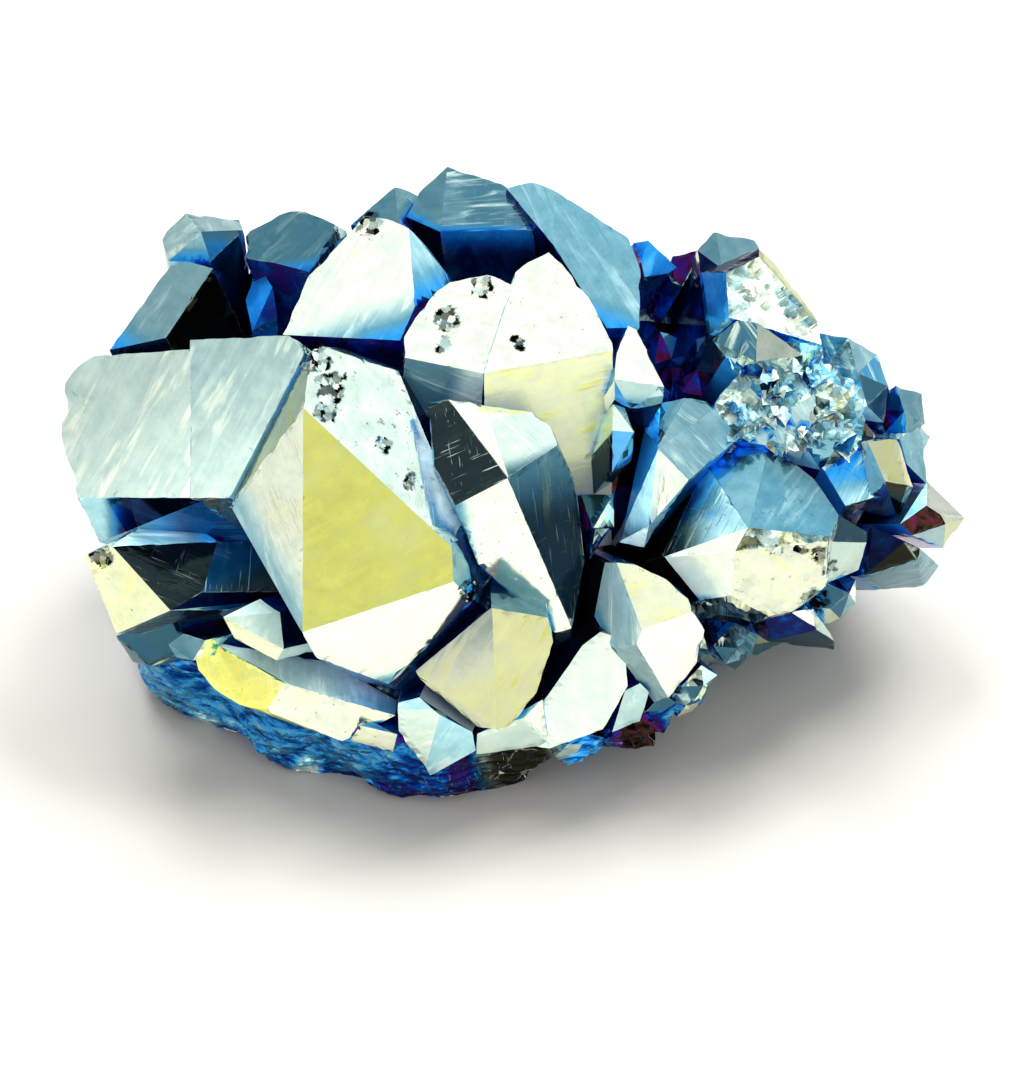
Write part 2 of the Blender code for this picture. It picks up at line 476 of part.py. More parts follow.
def broken_lump(name, shape, collection):
    """A lump with the outline of a crystal and its faces broken up."""
    planes, head_middle, to_root = crystal_shape(*shape)
    middle = head_middle + to_root * LUMP_MIDDLE
    bm = bmesh.new()
    bmesh.ops.create_icosphere(bm, subdivisions=LUMP_DETAIL, radius=1.0)
    for vert in bm.verts:
        ray = vert.co.normalized()
        ahead = [(point, normal) for point, normal in planes if ray.dot(normal) > 0.02]
        reach = min((point - middle).dot(normal) / ray.dot(normal) for point, normal in ahead)
        place = middle + ray * reach
        vert.co = place + ray * wander(place / MM, LUMP_GRAIN) * LUMP_ROUGHNESS * MM
    object_from(bm, name, collection)


def back_crystal(name, tip, radius, chance, collection):
    """A plain six-sided point, its faces of uneven size as in most quartz."""
    tip = Vector(tip) * MM
    radius *= MM
    centre = in_world(*GROWTH_CENTRE)
    axis = (tip - centre).normalized()
    shoulder = tip - axis * radius * BACK_HEAD
    side = axis.cross(Vector((0, 0, 1))).normalized()
    other_side = axis.cross(side)
    turn = chance.uniform(0, math.pi / 3)
    planes = [(centre + (tip - centre) * BACK_ROOT, -axis)]
    for face in range(6):
        angle = turn + face * math.pi / 3
        out = side * math.cos(angle) + other_side * math.sin(angle)
        prism_face = shoulder + out * radius * chance.uniform(*BACK_PRISM)
        planes.append((prism_face, (out + axis * BACK_PRISM_TAPER).normalized()))
        slope = (out + axis * chance.uniform(*BACK_TIP_TAPER)).normalized()
        planes.append((tip - out * radius * chance.uniform(0, BACK_TIP_OFFSET), slope))
    object_from(solid_between(planes), name, collection)


def matrix_lump(name, centre, radii, turn, collection):
    """A rough ellipsoid of matrix."""
    bm = bmesh.new()
    bmesh.ops.create_icosphere(bm, subdivisions=3, radius=1.0)
    for vert in bm.verts:
        place = Vector(part * radius for part, radius in zip(vert.co, radii))
        place += vert.co * wander(place, MATRIX_GRAIN) * MATRIX_ROUGHNESS
        vert.co = turn @ place * MM + centre
    object_from(bm, name, collection)


def foot_edge(angle):
    """The foot's radius in this direction, a smooth curve through FOOT_EDGE."""
    step = angle / (2 * math.pi) * len(FOOT_EDGE)
    first = math.floor(step)
    share = (1 - math.cos((step - first) * math.pi)) / 2
    near, far = FOOT_EDGE[first % len(FOOT_EDGE)], FOOT_EDGE[(first + 1) % len(FOOT_EDGE)]
    return near * (1 - share) + far * share


def foot(name, collection):
    """The rough mound that the cluster stands on, with steep sides."""
    bm = bmesh.new()
    bmesh.ops.create_icosphere(bm, subdivisions=5, radius=1.0)
    for vert in bm.verts:
        angle = math.atan2(vert.co.y, vert.co.x)
        edge = foot_edge(angle) * math.hypot(vert.co.x, vert.co.y) ** FOOT_SIDE_CURVE
        height = math.copysign(abs(vert.co.z) ** FOOT_TOP_CURVE, vert.co.z) * FOOT_HEIGHT
        place = Vector((edge * math.cos(angle), edge * math.sin(angle), height)) + Vector(FOOT_CENTRE)
        vert.co = (place + vert.co * wander(place, MATRIX_GRAIN) * MATRIX_ROUGHNESS) * MM
    return object_from(bm, name, collection)


def shards(bed, collection):
    """Broken splinters, each half sunk in what it lies on."""
    chance = random.Random(SHARD_SEED)
    inward = -in_world(0, 0, 1).normalized()
    trees = []
    for obj in bed:
        corners = [vert.co for vert in obj.data.vertices]
        trees.append(BVHTree.FromPolygons(corners, [face.vertices[:] for face in obj.data.polygons]))
    for number in range(1, SHARDS + 1):
        start = in_world(chance.uniform(*SHARD_ACROSS), chance.uniform(*SHARD_UP), SHARD_DROP)
        size = chance.uniform(*SHARD_SIZE) * MM
        ways = [Vector([chance.gauss(0, 1) for _ in range(3)]) for _ in range(SHARD_CORNERS)]
        hits = [hit for hit in (tree.ray_cast(start, inward) for tree in trees) if hit[0]]
        if hits:
            place = min(hits, key=lambda hit: hit[3])[0]
            planes = hull_planes([place + way.normalized() * size for way in ways])
            object_from(solid_between(planes), f"shard_{number:02d}", collection)


def root_fills(collection):
    for number, (centre, radius) in enumerate(ROOT_FILLS, 1):
        bm = bmesh.new()
        bmesh.ops.create_icosphere(bm, subdivisions=1, radius=radius * MM)
        bmesh.ops.translate(bm, vec=Vector(centre) * MM, verts=bm.verts)
        object_from(bm, f"root_fill_{number}", collection)


def grown_together(collection):
    """Every crystal, lump and splinter that is joined to the foot."""
    for name, shape in FRONT_CRYSTALS.items():
        make = broken_lump if name in BROKEN else front_crystal
        make(name, shape, collection)
    chance = random.Random(BACK_SEED)
    for number, (tip, radius) in enumerate(BACK_CRYSTALS, 1):
        back_crystal(f"back_{number:02d}", tip, radius, chance, collection)
    shards([bpy.data.objects[name] for name in SHARD_BED], collection)
    root_fills(collection)
    slope_turn = Matrix.Rotation(FACE_SLOPE, 3, "X")
    matrix_lump("heart", in_world(*HEART_CENTRE), HEART_RADII, slope_turn, collection)
    matrix_lump("toe", Vector(TOE_CENTRE) * MM, TOE_RADII, Matrix.Identity(3), collection)


def underside_cut(collection):
    """A block whose top face is the surface that the cluster stands on."""
    bm = bmesh.new()
    bmesh.ops.create_cube(bm, size=UNDERSIDE_CUT_SIZE)
    bmesh.ops.translate(bm, vec=(0, 0, -UNDERSIDE_CUT_SIZE / 2), verts=bm.verts)
    return object_from(bm, "underside_cut", collection)


def coat():
    """Quartz under the metal film that the aura colours come from."""
    material = bpy.data.materials.new("aura_quartz")
    material.use_nodes = True
    shader = material.node_tree.nodes["Principled BSDF"]
    shader.inputs["Base Color"].default_value = COAT_COLOUR
    shader.inputs["Metallic"].default_value = 1.0
    shader.inputs["Roughness"].default_value = COAT_ROUGHNESS
    return material


def clear_scene():
    for obj in list(bpy.data.objects):
        bpy.data.objects.remove(obj, do_unlink=True)


def new_collection(name):
    collection = bpy.data.collections.new(name)
    bpy.context.scene.collection.children.link(collection)
    return collection


def main():
    clear_scene()
    part = new_collection("aura_quartz_cluster")
    grown = new_collection("grown_together")
    cutters = new_collection("cutters")
    grown_together(grown)
    floor_block = underside_cut(cutters)
    cluster = foot("quartz_cluster", part)
    cluster.data.materials.append(coat())
    for obj in grown.objects[:] + cutters.objects[:]:
        obj.hide_render = True
        obj.display_type = "WIRE"
    union = cluster.modifiers.new("grown together", "BOOLEAN")
    union.operation = "UNION"
    union.operand_type = "COLLECTION"
    union.collection = grown
    union.solver = "EXACT"
    cut = cluster.modifiers.new("flat underside", "BOOLEAN")
    cut.operation = "DIFFERENCE"
    cut.object = floor_block
    cut.solver = "EXACT"


main()
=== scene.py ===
import math
import random

import bmesh
import bpy
import numpy as np
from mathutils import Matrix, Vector, noise
from mathutils.bvhtree import BVHTree


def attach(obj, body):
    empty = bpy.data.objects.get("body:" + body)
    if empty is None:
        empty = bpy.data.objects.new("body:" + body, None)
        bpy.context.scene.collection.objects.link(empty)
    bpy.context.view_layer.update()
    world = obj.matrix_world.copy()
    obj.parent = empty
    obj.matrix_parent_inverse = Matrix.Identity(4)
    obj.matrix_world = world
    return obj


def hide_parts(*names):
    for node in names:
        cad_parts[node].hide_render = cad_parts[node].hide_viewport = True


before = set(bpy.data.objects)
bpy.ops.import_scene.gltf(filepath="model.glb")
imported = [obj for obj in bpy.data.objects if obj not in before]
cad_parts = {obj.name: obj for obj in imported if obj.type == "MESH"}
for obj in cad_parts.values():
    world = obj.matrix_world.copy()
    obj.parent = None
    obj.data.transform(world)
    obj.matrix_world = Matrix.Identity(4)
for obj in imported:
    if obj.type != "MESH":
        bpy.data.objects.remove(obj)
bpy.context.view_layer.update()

# ---- The camera --------------------------------------------------------------------------------
# A camera on a stand, looking down at 45 degrees, square to the face that carries the crystals.
# Places on that face are (across, up, out) in mm.
MM = 0.001
TILT = math.radians(45)
UP_THE_FACE = Vector((0, math.sin(TILT), math.cos(TILT)))
OUT_OF_FACE = Vector((0, -math.sin(TILT), math.cos(TILT)))
FACE_ORIGIN = Vector((-0.53, -2.43, 0.0)) * MM
FOCUS_OUT = 30  # mm out from the face's origin to the plane through the crystals' heads
CAMERA_UP, CAMERA_AWAY = 8.7, 900  # mm up the face, and away from that plane
VIEW_HEIGHT = 117.5  # mm of that plane in the picture
SENSOR_HEIGHT = 24  # mm


def on_the_face(across, up, out):
    return FACE_ORIGIN + Vector((across * MM, 0, 0)) + UP_THE_FACE * up * MM + OUT_OF_FACE * out * MM


def way_on_face(degrees):
    """The direction this many degrees round from across, towards up."""
    way = math.radians(degrees)
    return Vector((1, 0, 0)) * math.cos(way) + UP_THE_FACE * math.sin(way)


def seen_at(place):
    """Where the camera sees this place, as (across, up) on the plane through the crystals' heads."""
    offset = place - FACE_ORIGIN
    nearer = CAMERA_AWAY / (CAMERA_AWAY - (offset.dot(OUT_OF_FACE) / MM - FOCUS_OUT))
    return offset.x / MM * nearer, CAMERA_UP + (offset.dot(UP_THE_FACE) / MM - CAMERA_UP) * nearer


camera_data = bpy.data.cameras.new("camera")
camera_data.sensor_fit = "VERTICAL"
camera_data.sensor_height = SENSOR_HEIGHT
camera_data.lens = SENSOR_HEIGHT * CAMERA_AWAY / VIEW_HEIGHT
camera_data.clip_start = 0.05
camera = bpy.data.objects.new("camera", camera_data)
camera.location = on_the_face(0, CAMERA_UP, FOCUS_OUT + CAMERA_AWAY)
camera.rotation_euler = (TILT, 0, 0)
bpy.context.scene.collection.objects.link(camera)
bpy.context.scene.camera = camera
bpy.context.scene.view_settings.view_transform = "Standard"

# ---- The crystals ------------------------------------------------------------------------------
# Stubby quartz points grown together on a thin matrix, all one piece, under a vapour-deposited
# titanium film. The film's thickness sets the colour of each face, and it thins in the crevices.
SAME_POINT = 3e-6  # m
BLUNTEST_EDGE = math.radians(0.8)  # flatter than this, two triangles are one grown face
LONGEST_EDGE = {"face": 1.1, "broken": 0.5, "matrix": 0.6, "underside": 8.0}  # mm, in the fine mesh
COARSER_UNNAMED, COARSER_BEHIND = 1.25, 1.8  # times as long, on plainer faces
KNOCKED_EDGE = 0.4  # mm, where a face is knocked
MATRIX_TOP = 11.0  # mm above the floor
MATRIX_PATCH = 3.0  # mm2, the largest face of the matrix
FOOT_TOP, FOOT_PATCH = 6.0, 9.0  # the matrix has larger faces lower down
BROKEN_PATCH = 1.2  # mm2, the largest face of broken ground
SMALL_FACE = 12.0  # mm2
BROKEN_SHARDS, SMALL_SHARDS, CRUMBS = 2.1, 0.9, 0.75  # mm wide
RIDGE, SHARP_EDGE = math.radians(20), math.radians(25)

# Film tones: (film thickness from thin, 0, to thick, 1; painted shine, how bright that face is painted,
# which stands in for the light or shade that the face mirrors).
TONES = {
    "olive": (1.0, 0.95), "yellow": (1.0, 1.4), "lemon": (0.93, 1.12), "sage": (0.945, 0.77),
    "butter": (0.93, 0.96), "straw": (0.91, 1.0), "khaki": (0.93, 0.62), "lichen": (0.9, 0.55),
    "cream": (0.885, 0.98), "white": (0.86, 1.15), "milk": (0.82, 1.12), "silver": (0.81, 0.76),
    # the near-black tone with shine 0.06 is painted shade: its faces mirror something dark
    "stone": (0.84, 0.5), "painted_dark": (0.7, 0.06), "moss": (0.8, 0.4), "frost": (0.77, 0.82),
    "ivory": (0.885, 0.88), "slate": (0.625, 0.5), "pale": (0.75, 1.0), "ash": (0.73, 0.72),
    "ice": (0.7, 1.5), "mist": (0.69, 0.9), "steel": (0.66, 0.7), "glacier": (0.648, 1.15),
    "storm": (0.625, 1.1), "sea": (0.645, 0.62), "ink": (0.46, 0.28), "teal": (0.61, 0.37),
    "deep": (0.6, 0.15), "sky": (0.57, 1.0), "azure": (0.5, 1.1), "matrix": (0.53, 0.62),
    "cobalt": (0.46, 0.8), "gloom": (0.59, 0.06), "pewter": (0.7, 0.62), "lagoon": (0.5, 0.45),
    "pool": (0.5, 0.13), "navy": (0.4, 0.55), "night": (0.37, 0.5), "abyss": (0.38, 0.12),
    "violet": (0.29, 0.34), "rust": (0.12, 0.6), "soil": (0.1, 0.35), "black": (0.93, 0.018),
}

# Finishes: how strong the growth streaks, the scratches and the pits are.
FINISHES = {
    "clean": (0.15, 0.0, 0.0), "clouded": (0.5, 0.1, 0.2), "streaked": (0.8, 0.15, 0.1),
    "scratched": (0.5, 0.8, 0.1), "pitted": (0.2, 0.2, 0.9), "spotted": (0.25, 0.15, 0.35),
    "rubbed": (0.8, 0.35, 0.4), "stepped": (2.2, 1.3, 0.2), "ribbed": (1.2, 1.0, 0.0),
    "chipped": (0.1, 0.1, 0.5), "worn": (0.5, 0.2, 0.6), "broken": (0.3, 0.0, 0.3),
}

# The faces of the front by name: (across, up, tone, finish, slant of the streaks in degrees).
# A face is the one seen at that place from the camera.
FACES = {
    "slab, left": (-42.1, 20.7, "silver", "streaked", 58),
    "slab, right": (-29.9, 24.0, "frost", "streaked", 58),
    "slab, under": (-42.7, 11.1, "ice", "clean"),
    "left stump, left": (-35.6, 40.5, "mist", "clouded"),
    "left stump, upper left": (-35.8, 42.9, "ash", "clouded"),
    "left stump, top": (-31.5, 42.9, "sea", "clouded"),
    "left stump, right": (-31.5, 41.0, "teal", "clean"),
    "left stump, under": (-30.4, 37.4, "lagoon", "clean"),
    "left stump, right side": (-28.0, 34.8, "cobalt", "clean"),
    "left lean": (-38.1, 33.9, "pewter", "scratched", 60),
    "left lean, side": (-33.5, 32.3, "black", "clean"),
    "left dome": (-23.7, 40.9, "slate", "clouded"),
    "left small, end": (-42.8, 2.3, "lemon", "pitted"),
    "left small, side": (-37.3, 5.1, "painted_dark", "rubbed", -20),
    "left small, top": (-39.0, 8.3, "mist", "streaked", 10),
    "left small, top right": (-34.8, 9.7, "mist", "streaked", 10),
    "left small, right": (-30.2, 4.6, "pool", "scratched", 70),
    "left small, foot": (-37.0, -0.5, "sea", "streaked", 20),
    "left sill": (-39.4, -3.3, "teal", "clean"),
    "lying point, end": (-29.5, -7.5, "yellow", "pitted"),
    "lying point, top": (-23.6, -9.0, "cream", "pitted"),
    "lying point, back": (-21.8, -6.9, "moss", "streaked", 80),
    "tab, top": (-27.1, -1.3, "silver", "scratched", 70),
    "tab, back": (-28.1, 0.3, "silver", "scratched", 70),
    "tab, front": (-28.3, -3.1, "straw", "clean"),
    "low left, top": (-13.7, -14.1, "cream", "pitted"),
    "great, front": (-17.4, 7.8, "olive", "spotted", 28),
    "great, upper right": (-13.5, 20.7, "milk", "pitted"),
    "great, lower": (-13.5, -2.2, "white", "clean"),
    "great, left": (-25.4, 11.0, "ivory", "clouded", -50),
    "great, left top": (-24.9, 21.5, "lichen", "streaked", -50),
    "great, right": (-5.4, 5.2, "mist", "clean"),
    "great, right edge": (-3.8, 4.0, "glacier", "clean"),
    "white block, top": (-16.3, 36.6, "white", "streaked", 65),
    "white block, right": (-9.5, 37.3, "ice", "streaked", -60),
    "white block, under": (-15.9, 29.4, "violet", "clean"),
    "tower, top left": (-7.0, 30.6, "white", "pitted"),
    "tower, top right": (3.6, 32.0, "white", "pitted"),
    "tower, front": (6.2, 23.8, "butter", "streaked", 8),
    "tower, left": (-7.8, 25.3, "slate", "streaked", -15),
    "wedge, left": (-5.9, 17.2, "painted_dark", "scratched", 12),
    "wedge, ridge": (-3.2, 20.7, "white", "clean"),
    "wedge, upper right": (1.2, 19.1, "milk", "scratched", -60),
    "wedge, lower": (-0.3, 7.2, "white", "chipped"),
    "wedge, right": (5.0, 9.9, "slate", "streaked", -65),
    "crown right, front": (9.8, 38.7, "glacier", "scratched", -70),
    "crown right, top": (2.9, 45.2, "glacier", "scratched", -70),
    "crown, right": (-3.8, 44.3, "steel", "stepped", 8),
    "crown, left": (-9.2, 44.9, "sea", "clouded"),
    "crown, low left": (-13.9, 44.9, "sea", "clouded"),
    "crown, low right": (-10.9, 45.9, "steel", "clouded"),
    "crown, under": (-2.6, 39.4, "cobalt", "clean"),
    "splinter, left": (13.4, 29.6, "white", "clean"),
    "splinter, low": (13.6, 24.3, "pale", "clean"),
    "shin, top": (16.8, 14.3, "white", "streaked", 80),
    "shin, left": (14.4, 11.2, "ice", "streaked", 80),
    "shin, lower": (13.9, 8.1, "milk", "clean"),
    "shin, dark side": (12.0, 12.1, "night", "clean"),
    "shin, under": (12.5, 6.8, "rust", "clean"),
    "ribbed, right": (20.2, 18.2, "mist", "ribbed", -52),
    "ribbed, top": (19.4, 21.8, "mist", "ribbed", -52),
    "ribbed, left": (15.7, 19.7, "azure", "clean"),
    "shallow, left": (21.4, 10.5, "ice", "scratched", 72),
    "shallow, top left": (25.4, 15.2, "glacier", "clean"),
    "shallow, top right": (30.6, 12.1, "storm", "worn"),
    "shallow, front left": (21.5, 4.5, "white", "clean"),
    "shallow, front": (29.5, 4.0, "ivory", "worn"),
    "shallow, edge": (22.5, 7.3, "white", "clean"),
    "shallow, brow": (28.8, 8.1, "khaki", "broken"),
    "shallow, under": (22.9, 0.1, "teal", "broken"),
    "shallow, under right": (24.4, 1.0, "teal", "broken"),
    "gully, left": (16.7, 8.1, "black", "clean"),
    "gully, right": (17.3, 4.3, "black", "clean"),
    "gully, low": (8.7, 3.0, "black", "clean"),
    "mid right, top": (15.3, 1.8, "straw", "clouded"),
    "mid right, right": (18.0, -3.6, "white", "clean"),
    "mid right, left": (11.5, 0.2, "ash", "streaked", 75),
    "mid right, lower": (14.4, -6.4, "ash", "clean"),
    "mid right, edge": (15.1, -4.9, "white", "clean"),
    "low white": (8.2, -8.9, "milk", "clean"),
    "low white, left": (3.0, -11.8, "white", "clean"),
    "low white, foot": (-0.1, -13.9, "milk", "clean"),
    "olive point, left": (-4.5, -6.2, "sage", "streaked", 62),
    "olive point, right": (0.6, -5.1, "sage", "streaked", 62),
    "olive point, edge": (-5.7, -10.4, "straw", "clean"),
    "marbled, left": (-10.2, -12.8, "milk", "clouded"),
    "marbled, right": (-7.0, -14.6, "ice", "clouded"),
    "marbled, top": (-10.7, -10.1, "ice", "clouded"),
    "low right, front": (13.6, -10.7, "pale", "clean"),
    "low right, left": (12.5, -9.7, "pale", "clean"),
    "top right, face": (28.0, 35.5, "white", "broken"),
    "top right, left": (22.3, 34.5, "cobalt", "clean"),
    "top right, edge": (29.8, 37.0, "khaki", "clean"),
    "top right, tip": (24.4, 40.4, "steel", "clean"),
    "bright pocket": (15.8, 38.5, "azure", "streaked", 70),
    "violet pocket": (18.5, 39.1, "violet", "clean"),
    "navy pocket": (19.4, 31.2, "night", "clean"),
    "small violet": (15.6, 29.4, "violet", "clean"),
    "magenta pocket": (20.1, 24.9, "violet", "clean"),
    "teal pocket": (22.9, 25.4, "lagoon", "clean"),
    "nose, left": (24.7, 29.9, "sea", "stepped", 60),
    "nose, right": (28.5, 29.2, "stone", "worn", 60),
    "shelf": (26.5, 24.1, "mist", "broken"),
    "blue pair": (37.3, 14.8, "azure", "stepped", 60),
    "blue pair, right": (42.2, 23.3, "cobalt", "clean"),
    "right tab, left": (41.0, 17.7, "khaki", "clean"),
    "right tab, right": (42.4, 15.7, "khaki", "clean"),
    "far right, top": (44.4, 19.1, "mist", "worn"),
    "far right, middle": (43.8, 17.8, "mist", "worn"),
    "rust face": (45.4, 10.1, "rust", "clean"),
    "far tip, top": (47.0, 12.0, "stone", "clean"),
    "far tip, front": (46.6, 8.5, "ash", "clean"),
    "far tip, end": (48.3, 9.7, "khaki", "clean"),
    "black pocket, upper": (42.4, 13.1, "black", "clean"),
    "black pocket, left": (40.8, 11.9, "mist", "clean"),
    "black pocket, blue": (42.1, 9.2, "cobalt", "clean"),
    "black pocket, lower": (40.2, 7.4, "abyss", "clean"),
    "black pocket, right": (42.3, 5.8, "black", "clean"),
    "pale step": (36.2, 6.5, "silver", "clean"),
    "pale step, right": (37.5, 5.2, "silver", "clean"),
    "dark step": (37.0, 8.8, "deep", "clean"),
    "far low, front": (42.6, 3.9, "steel", "scratched", 20),
    "low blade, left": (30.3, -1.5, "night", "clean"),
    "low blade, right": (32.8, -3.1, "deep", "clean"),
    "low blade, white": (32.5, -0.2, "white", "clean"),
    "navy strip": (35.0, 13.4, "lagoon", "clean"),
    "crown right, side": (0.5, 44.9, "night", "clean"),
    "kite": (13.6, 26.7, "white", "clean"),
    "olive point, side": (-7.5, -10.2, "moss", "clean"),
    "under druse, a": (23.9, -3.0, "teal", "broken"),
    "under druse, b": (25.6, -2.5, "teal", "broken"),
    "under druse, c": (20.3, -7.4, "teal", "broken"),
    "under druse, d": (21.2, -4.3, "teal", "broken"),
    "under druse, e": (16.6, -10.1, "teal", "clean"),
    "step, a": (32.6, 16.6, "storm", "clean"),
    "step, b": (31.2, 17.3, "sea", "clean"),
    "step, c": (34.3, 17.6, "glacier", "clean"),
    "sill, top": (-35.6, -3.5, "sea", "clean"),
    "nose, far": (36.7, 27.9, "mist", "broken"),
    "pair, low": (39.8, 15.4, "steel", "clean"),
    "pair, under": (40.5, 22.8, "pool", "clean"),
    "far right, dip": (39.5, 24.6, "teal", "clean"),
    "far right, cap": (37.6, 22.8, "pale", "clean"),
    "far right, brow": (39.8, 21.6, "mist", "clean"),
    "low blade, far": (34.0, -1.5, "silver", "chipped"),
    "nose, lower": (24.7, 28.3, "mist", "broken"),
    "nose, top": (35.1, 29.5, "storm", "stepped"),
    "nose, back": (32.3, 28.8, "pale", "broken"),
    "ribbed, gap": (14.6, 16.7, "lagoon", "clean"),
    "shin, head": (10.6, 10.5, "white", "clean"),
    "tower, right edge": (10.4, 20.4, "milk", "clean"),
    "tower, right top": (10.7, 23.7, "cream", "clean"),
    "shin, collar": (9.2, 12.0, "teal", "clean"),
    "shin, gap": (16.0, 10.0, "sea", "clean"),
    "top right, gap": (21.3, 38.5, "abyss", "clean"),
    "top right, notch": (23.7, 38.2, "abyss", "clean"),
    "black pocket, top": (44.8, 12.0, "glacier", "clean"),
    "far low, tip": (45.7, 4.7, "steel", "clean"),
    "left stump, foot": (-26.7, 33.1, "navy", "clean"),
    "left small, gap": (-32.2, 1.3, "abyss", "clean"),
    "tab, gap": (-23.8, -4.2, "moss", "clean"),
    "low gap": (5.2, -5.3, "abyss", "clean"),
    "left lean, foot": (-39.9, 29.3, "abyss", "clean"),
    "tower, foot": (10.0, 16.5, "deep", "clean"),
    "tab, side": (-24.3, -2.1, "abyss", "clean"),
    "olive point, back": (-4.5, -0.5, "abyss", "clean"),
    "far gap": (36.9, 18.4, "lagoon", "clean"),
    "white block, gap": (-9.1, 41.4, "abyss", "clean"),
    "right tab, gap": (39.2, 19.6, "black", "clean"),
    "pale step, under": (35.6, 2.0, "teal", "clean"),
    "left dome, under": (-25.1, 36.4, "night", "clean"),
    "nose, gap": (21.9, 27.8, "steel", "clean"),
    "great, gap": (-10.0, 21.9, "abyss", "clean"),
    "mid right, foot": (21.6, -6.8, "ice", "clean"),
    "tab, left gap": (-32.9, -2.1, "abyss", "clean"),
    "far right, side": (44.6, 22.3, "steel", "clean"),
    "nose, chip": (28.1, 24.9, "teal", "broken"),
    "top right, brow": (22.1, 40.0, "sea", "clean"),
    "splinter, gap": (14.2, 21.5, "abyss", "clean"),
    "low gap, upper": (8.0, -1.8, "black", "clean"),
    "left stump, sliver": (-29.0, 39.7, "navy", "clean"),
    "ribbed, left low": (11.8, 18.8, "sky", "clean"),
    "ribbed, left top": (11.8, 23.8, "sky", "clean"),
    "splinter, collar": (-0.2, 1.1, "teal", "clean"),
    "great, cap": (-24.8, 24.2, "sea", "clean"),
    "low right step": (26.0, -4.0, "teal", "broken"),
    "far slope, low": (39.2, 26.2, "storm", "stepped"),
    "druse, low": (24.6, -4.7, "teal", "broken"),
    "druse, left": (22.4, -1.9, "ink", "clean"),
}

# Faces whose film changes to one side: (the tone there, the way to it in degrees, how far across the
# face the change begins, and how far it ends, where that is short of the far side). The far tone's painted
# shine comes along, so a fade is partly the film's colour and partly painted shade or painted light.
FADES = {
    "slab, left": ("milk", -55, 0.2), "slab, right": ("milk", -70, 0.2),
    "blue pair": ("ice", -75, 0.15), "left small, top right": ("ink", -5, 0.1, 0.5),
    "left stump, under": ("abyss", -90, 0.05, 0.7), "left stump, right": ("lagoon", -90, 0.1, 0.6),
    "left small, foot": ("ash", -80, 0.2), "top right, left": ("sky", -80, 0.4),
    "bright pocket": ("cobalt", -60, 0.4), "slab, under": ("abyss", 0, 0.18, 0.38),
    "tower, left": ("silver", -15, 0.5, 0.8), "white block, top": ("azure", -72, 0.62),
    "white block, right": ("azure", -70, 0.35), "left lean": ("azure", -130, 0.6),
    "left stump, left": ("cobalt", -90, 0.4), "left dome": ("cobalt", -80, 0.7),
    "crown right, front": ("azure", -110, 0.75), "crown right, side": ("steel", 20, 0.45),
    "crown, right": ("cobalt", -90, 0.88), "crown, low left": ("cobalt", -140, 0.7),
    "crown, under": ("abyss", -90, 0.0, 0.25), "crown, left": ("cobalt", -120, 0.8),
    "splinter, collar": ("sea", -90, 0.0, 0.8), "great, right": ("azure", -20, 0.3),
    "great, upper right": ("pale", -30, 0.8), "great, lower": ("sky", -75, 0.8),
    "great, left": ("mist", -150, 0.7), "wedge, lower": ("sky", 190, 0.8),
    "wedge, right": ("gloom", -80, 0.0, 0.4), "wedge, upper right": ("teal", -70, 0.7),
    "shin, left": ("teal", -90, 0.65), "shin, top": ("pale", -90, 0.6),
    "splinter, low": ("sky", -90, 0.4), "ribbed, right": ("glacier", -10, 0.6),
    "ribbed, left": ("navy", -60, 0.5), "shallow, left": ("deep", 175, 0.35, 0.8),
    "shallow, top left": ("azure", 140, 0.6), "shallow, top right": ("sea", 60, 0.5),
    "shallow, front left": ("azure", -100, 0.85), "mid right, left": ("sky", 200, 0.7),
    "lying point, back": ("teal", -75, 0.6), "left small, right": ("black", -60, 0.3),
    "left small, top": ("azure", -10, 0.6), "olive point, left": ("moss", 110, 0.3),
}

# Ground where many small pieces broke off: (across, up) of its middle and its radii, mm.
BROKEN_GROUND = ((31.5, 21.0), (9.5, 8.0))
LARGEST_BROKEN_PIECE = 16.0  # mm2

# Faces in the gaps with painted bounce light: the light their neighbours throw on them is painted in as extra
# shine, this many times. At 1 the film only keeps its thickness.
BOUNCED = {
    "lying point, back": 3.6, "mid right, left": 1.15, "left small, right": 2.0,
    "left dome, under": 1.4, "shin, gap": 2.2, "left small, top right": 1.6, "black pocket, top": 1.5,
    "black pocket, blue": 1.6, "far right, brow": 1.8, "ribbed, left low": 1.5, "ribbed, left top": 1.4,
    "great, cap": 1.5, "tab, top": 1.0, "crown, under": 1.0, "nose, back": 2.4, "low right step": 1.5,
    "tower, left": 1.0, "shin, left": 1.5, "left small, top": 2.2, "mid right, lower": 1.0,
    "tab, back": 1.6, "olive point, side": 1.7, "far tip, top": 0.45, "tab, gap": 2.5,
    "shin, lower": 2.0, "shallow, under": 1.2, "teal pocket": 2.6, "ribbed, gap": 2.0,
    "shallow, front left": 1.0, "tower, front": 1.12, "mid right, foot": 1.6, "pair, low": 1.6,
    "step, a": 2.0, "step, b": 2.0, "left stump, right side": 1.0, "navy strip": 2.0,
    "ribbed, left": 2.0, "tower, right top": 1.4,
}

# Faces with the same thickness of film, and so no painted crevice shade, right up to the crystal that they
# meet.
EVENLY_COATED = {"great, upper right"}

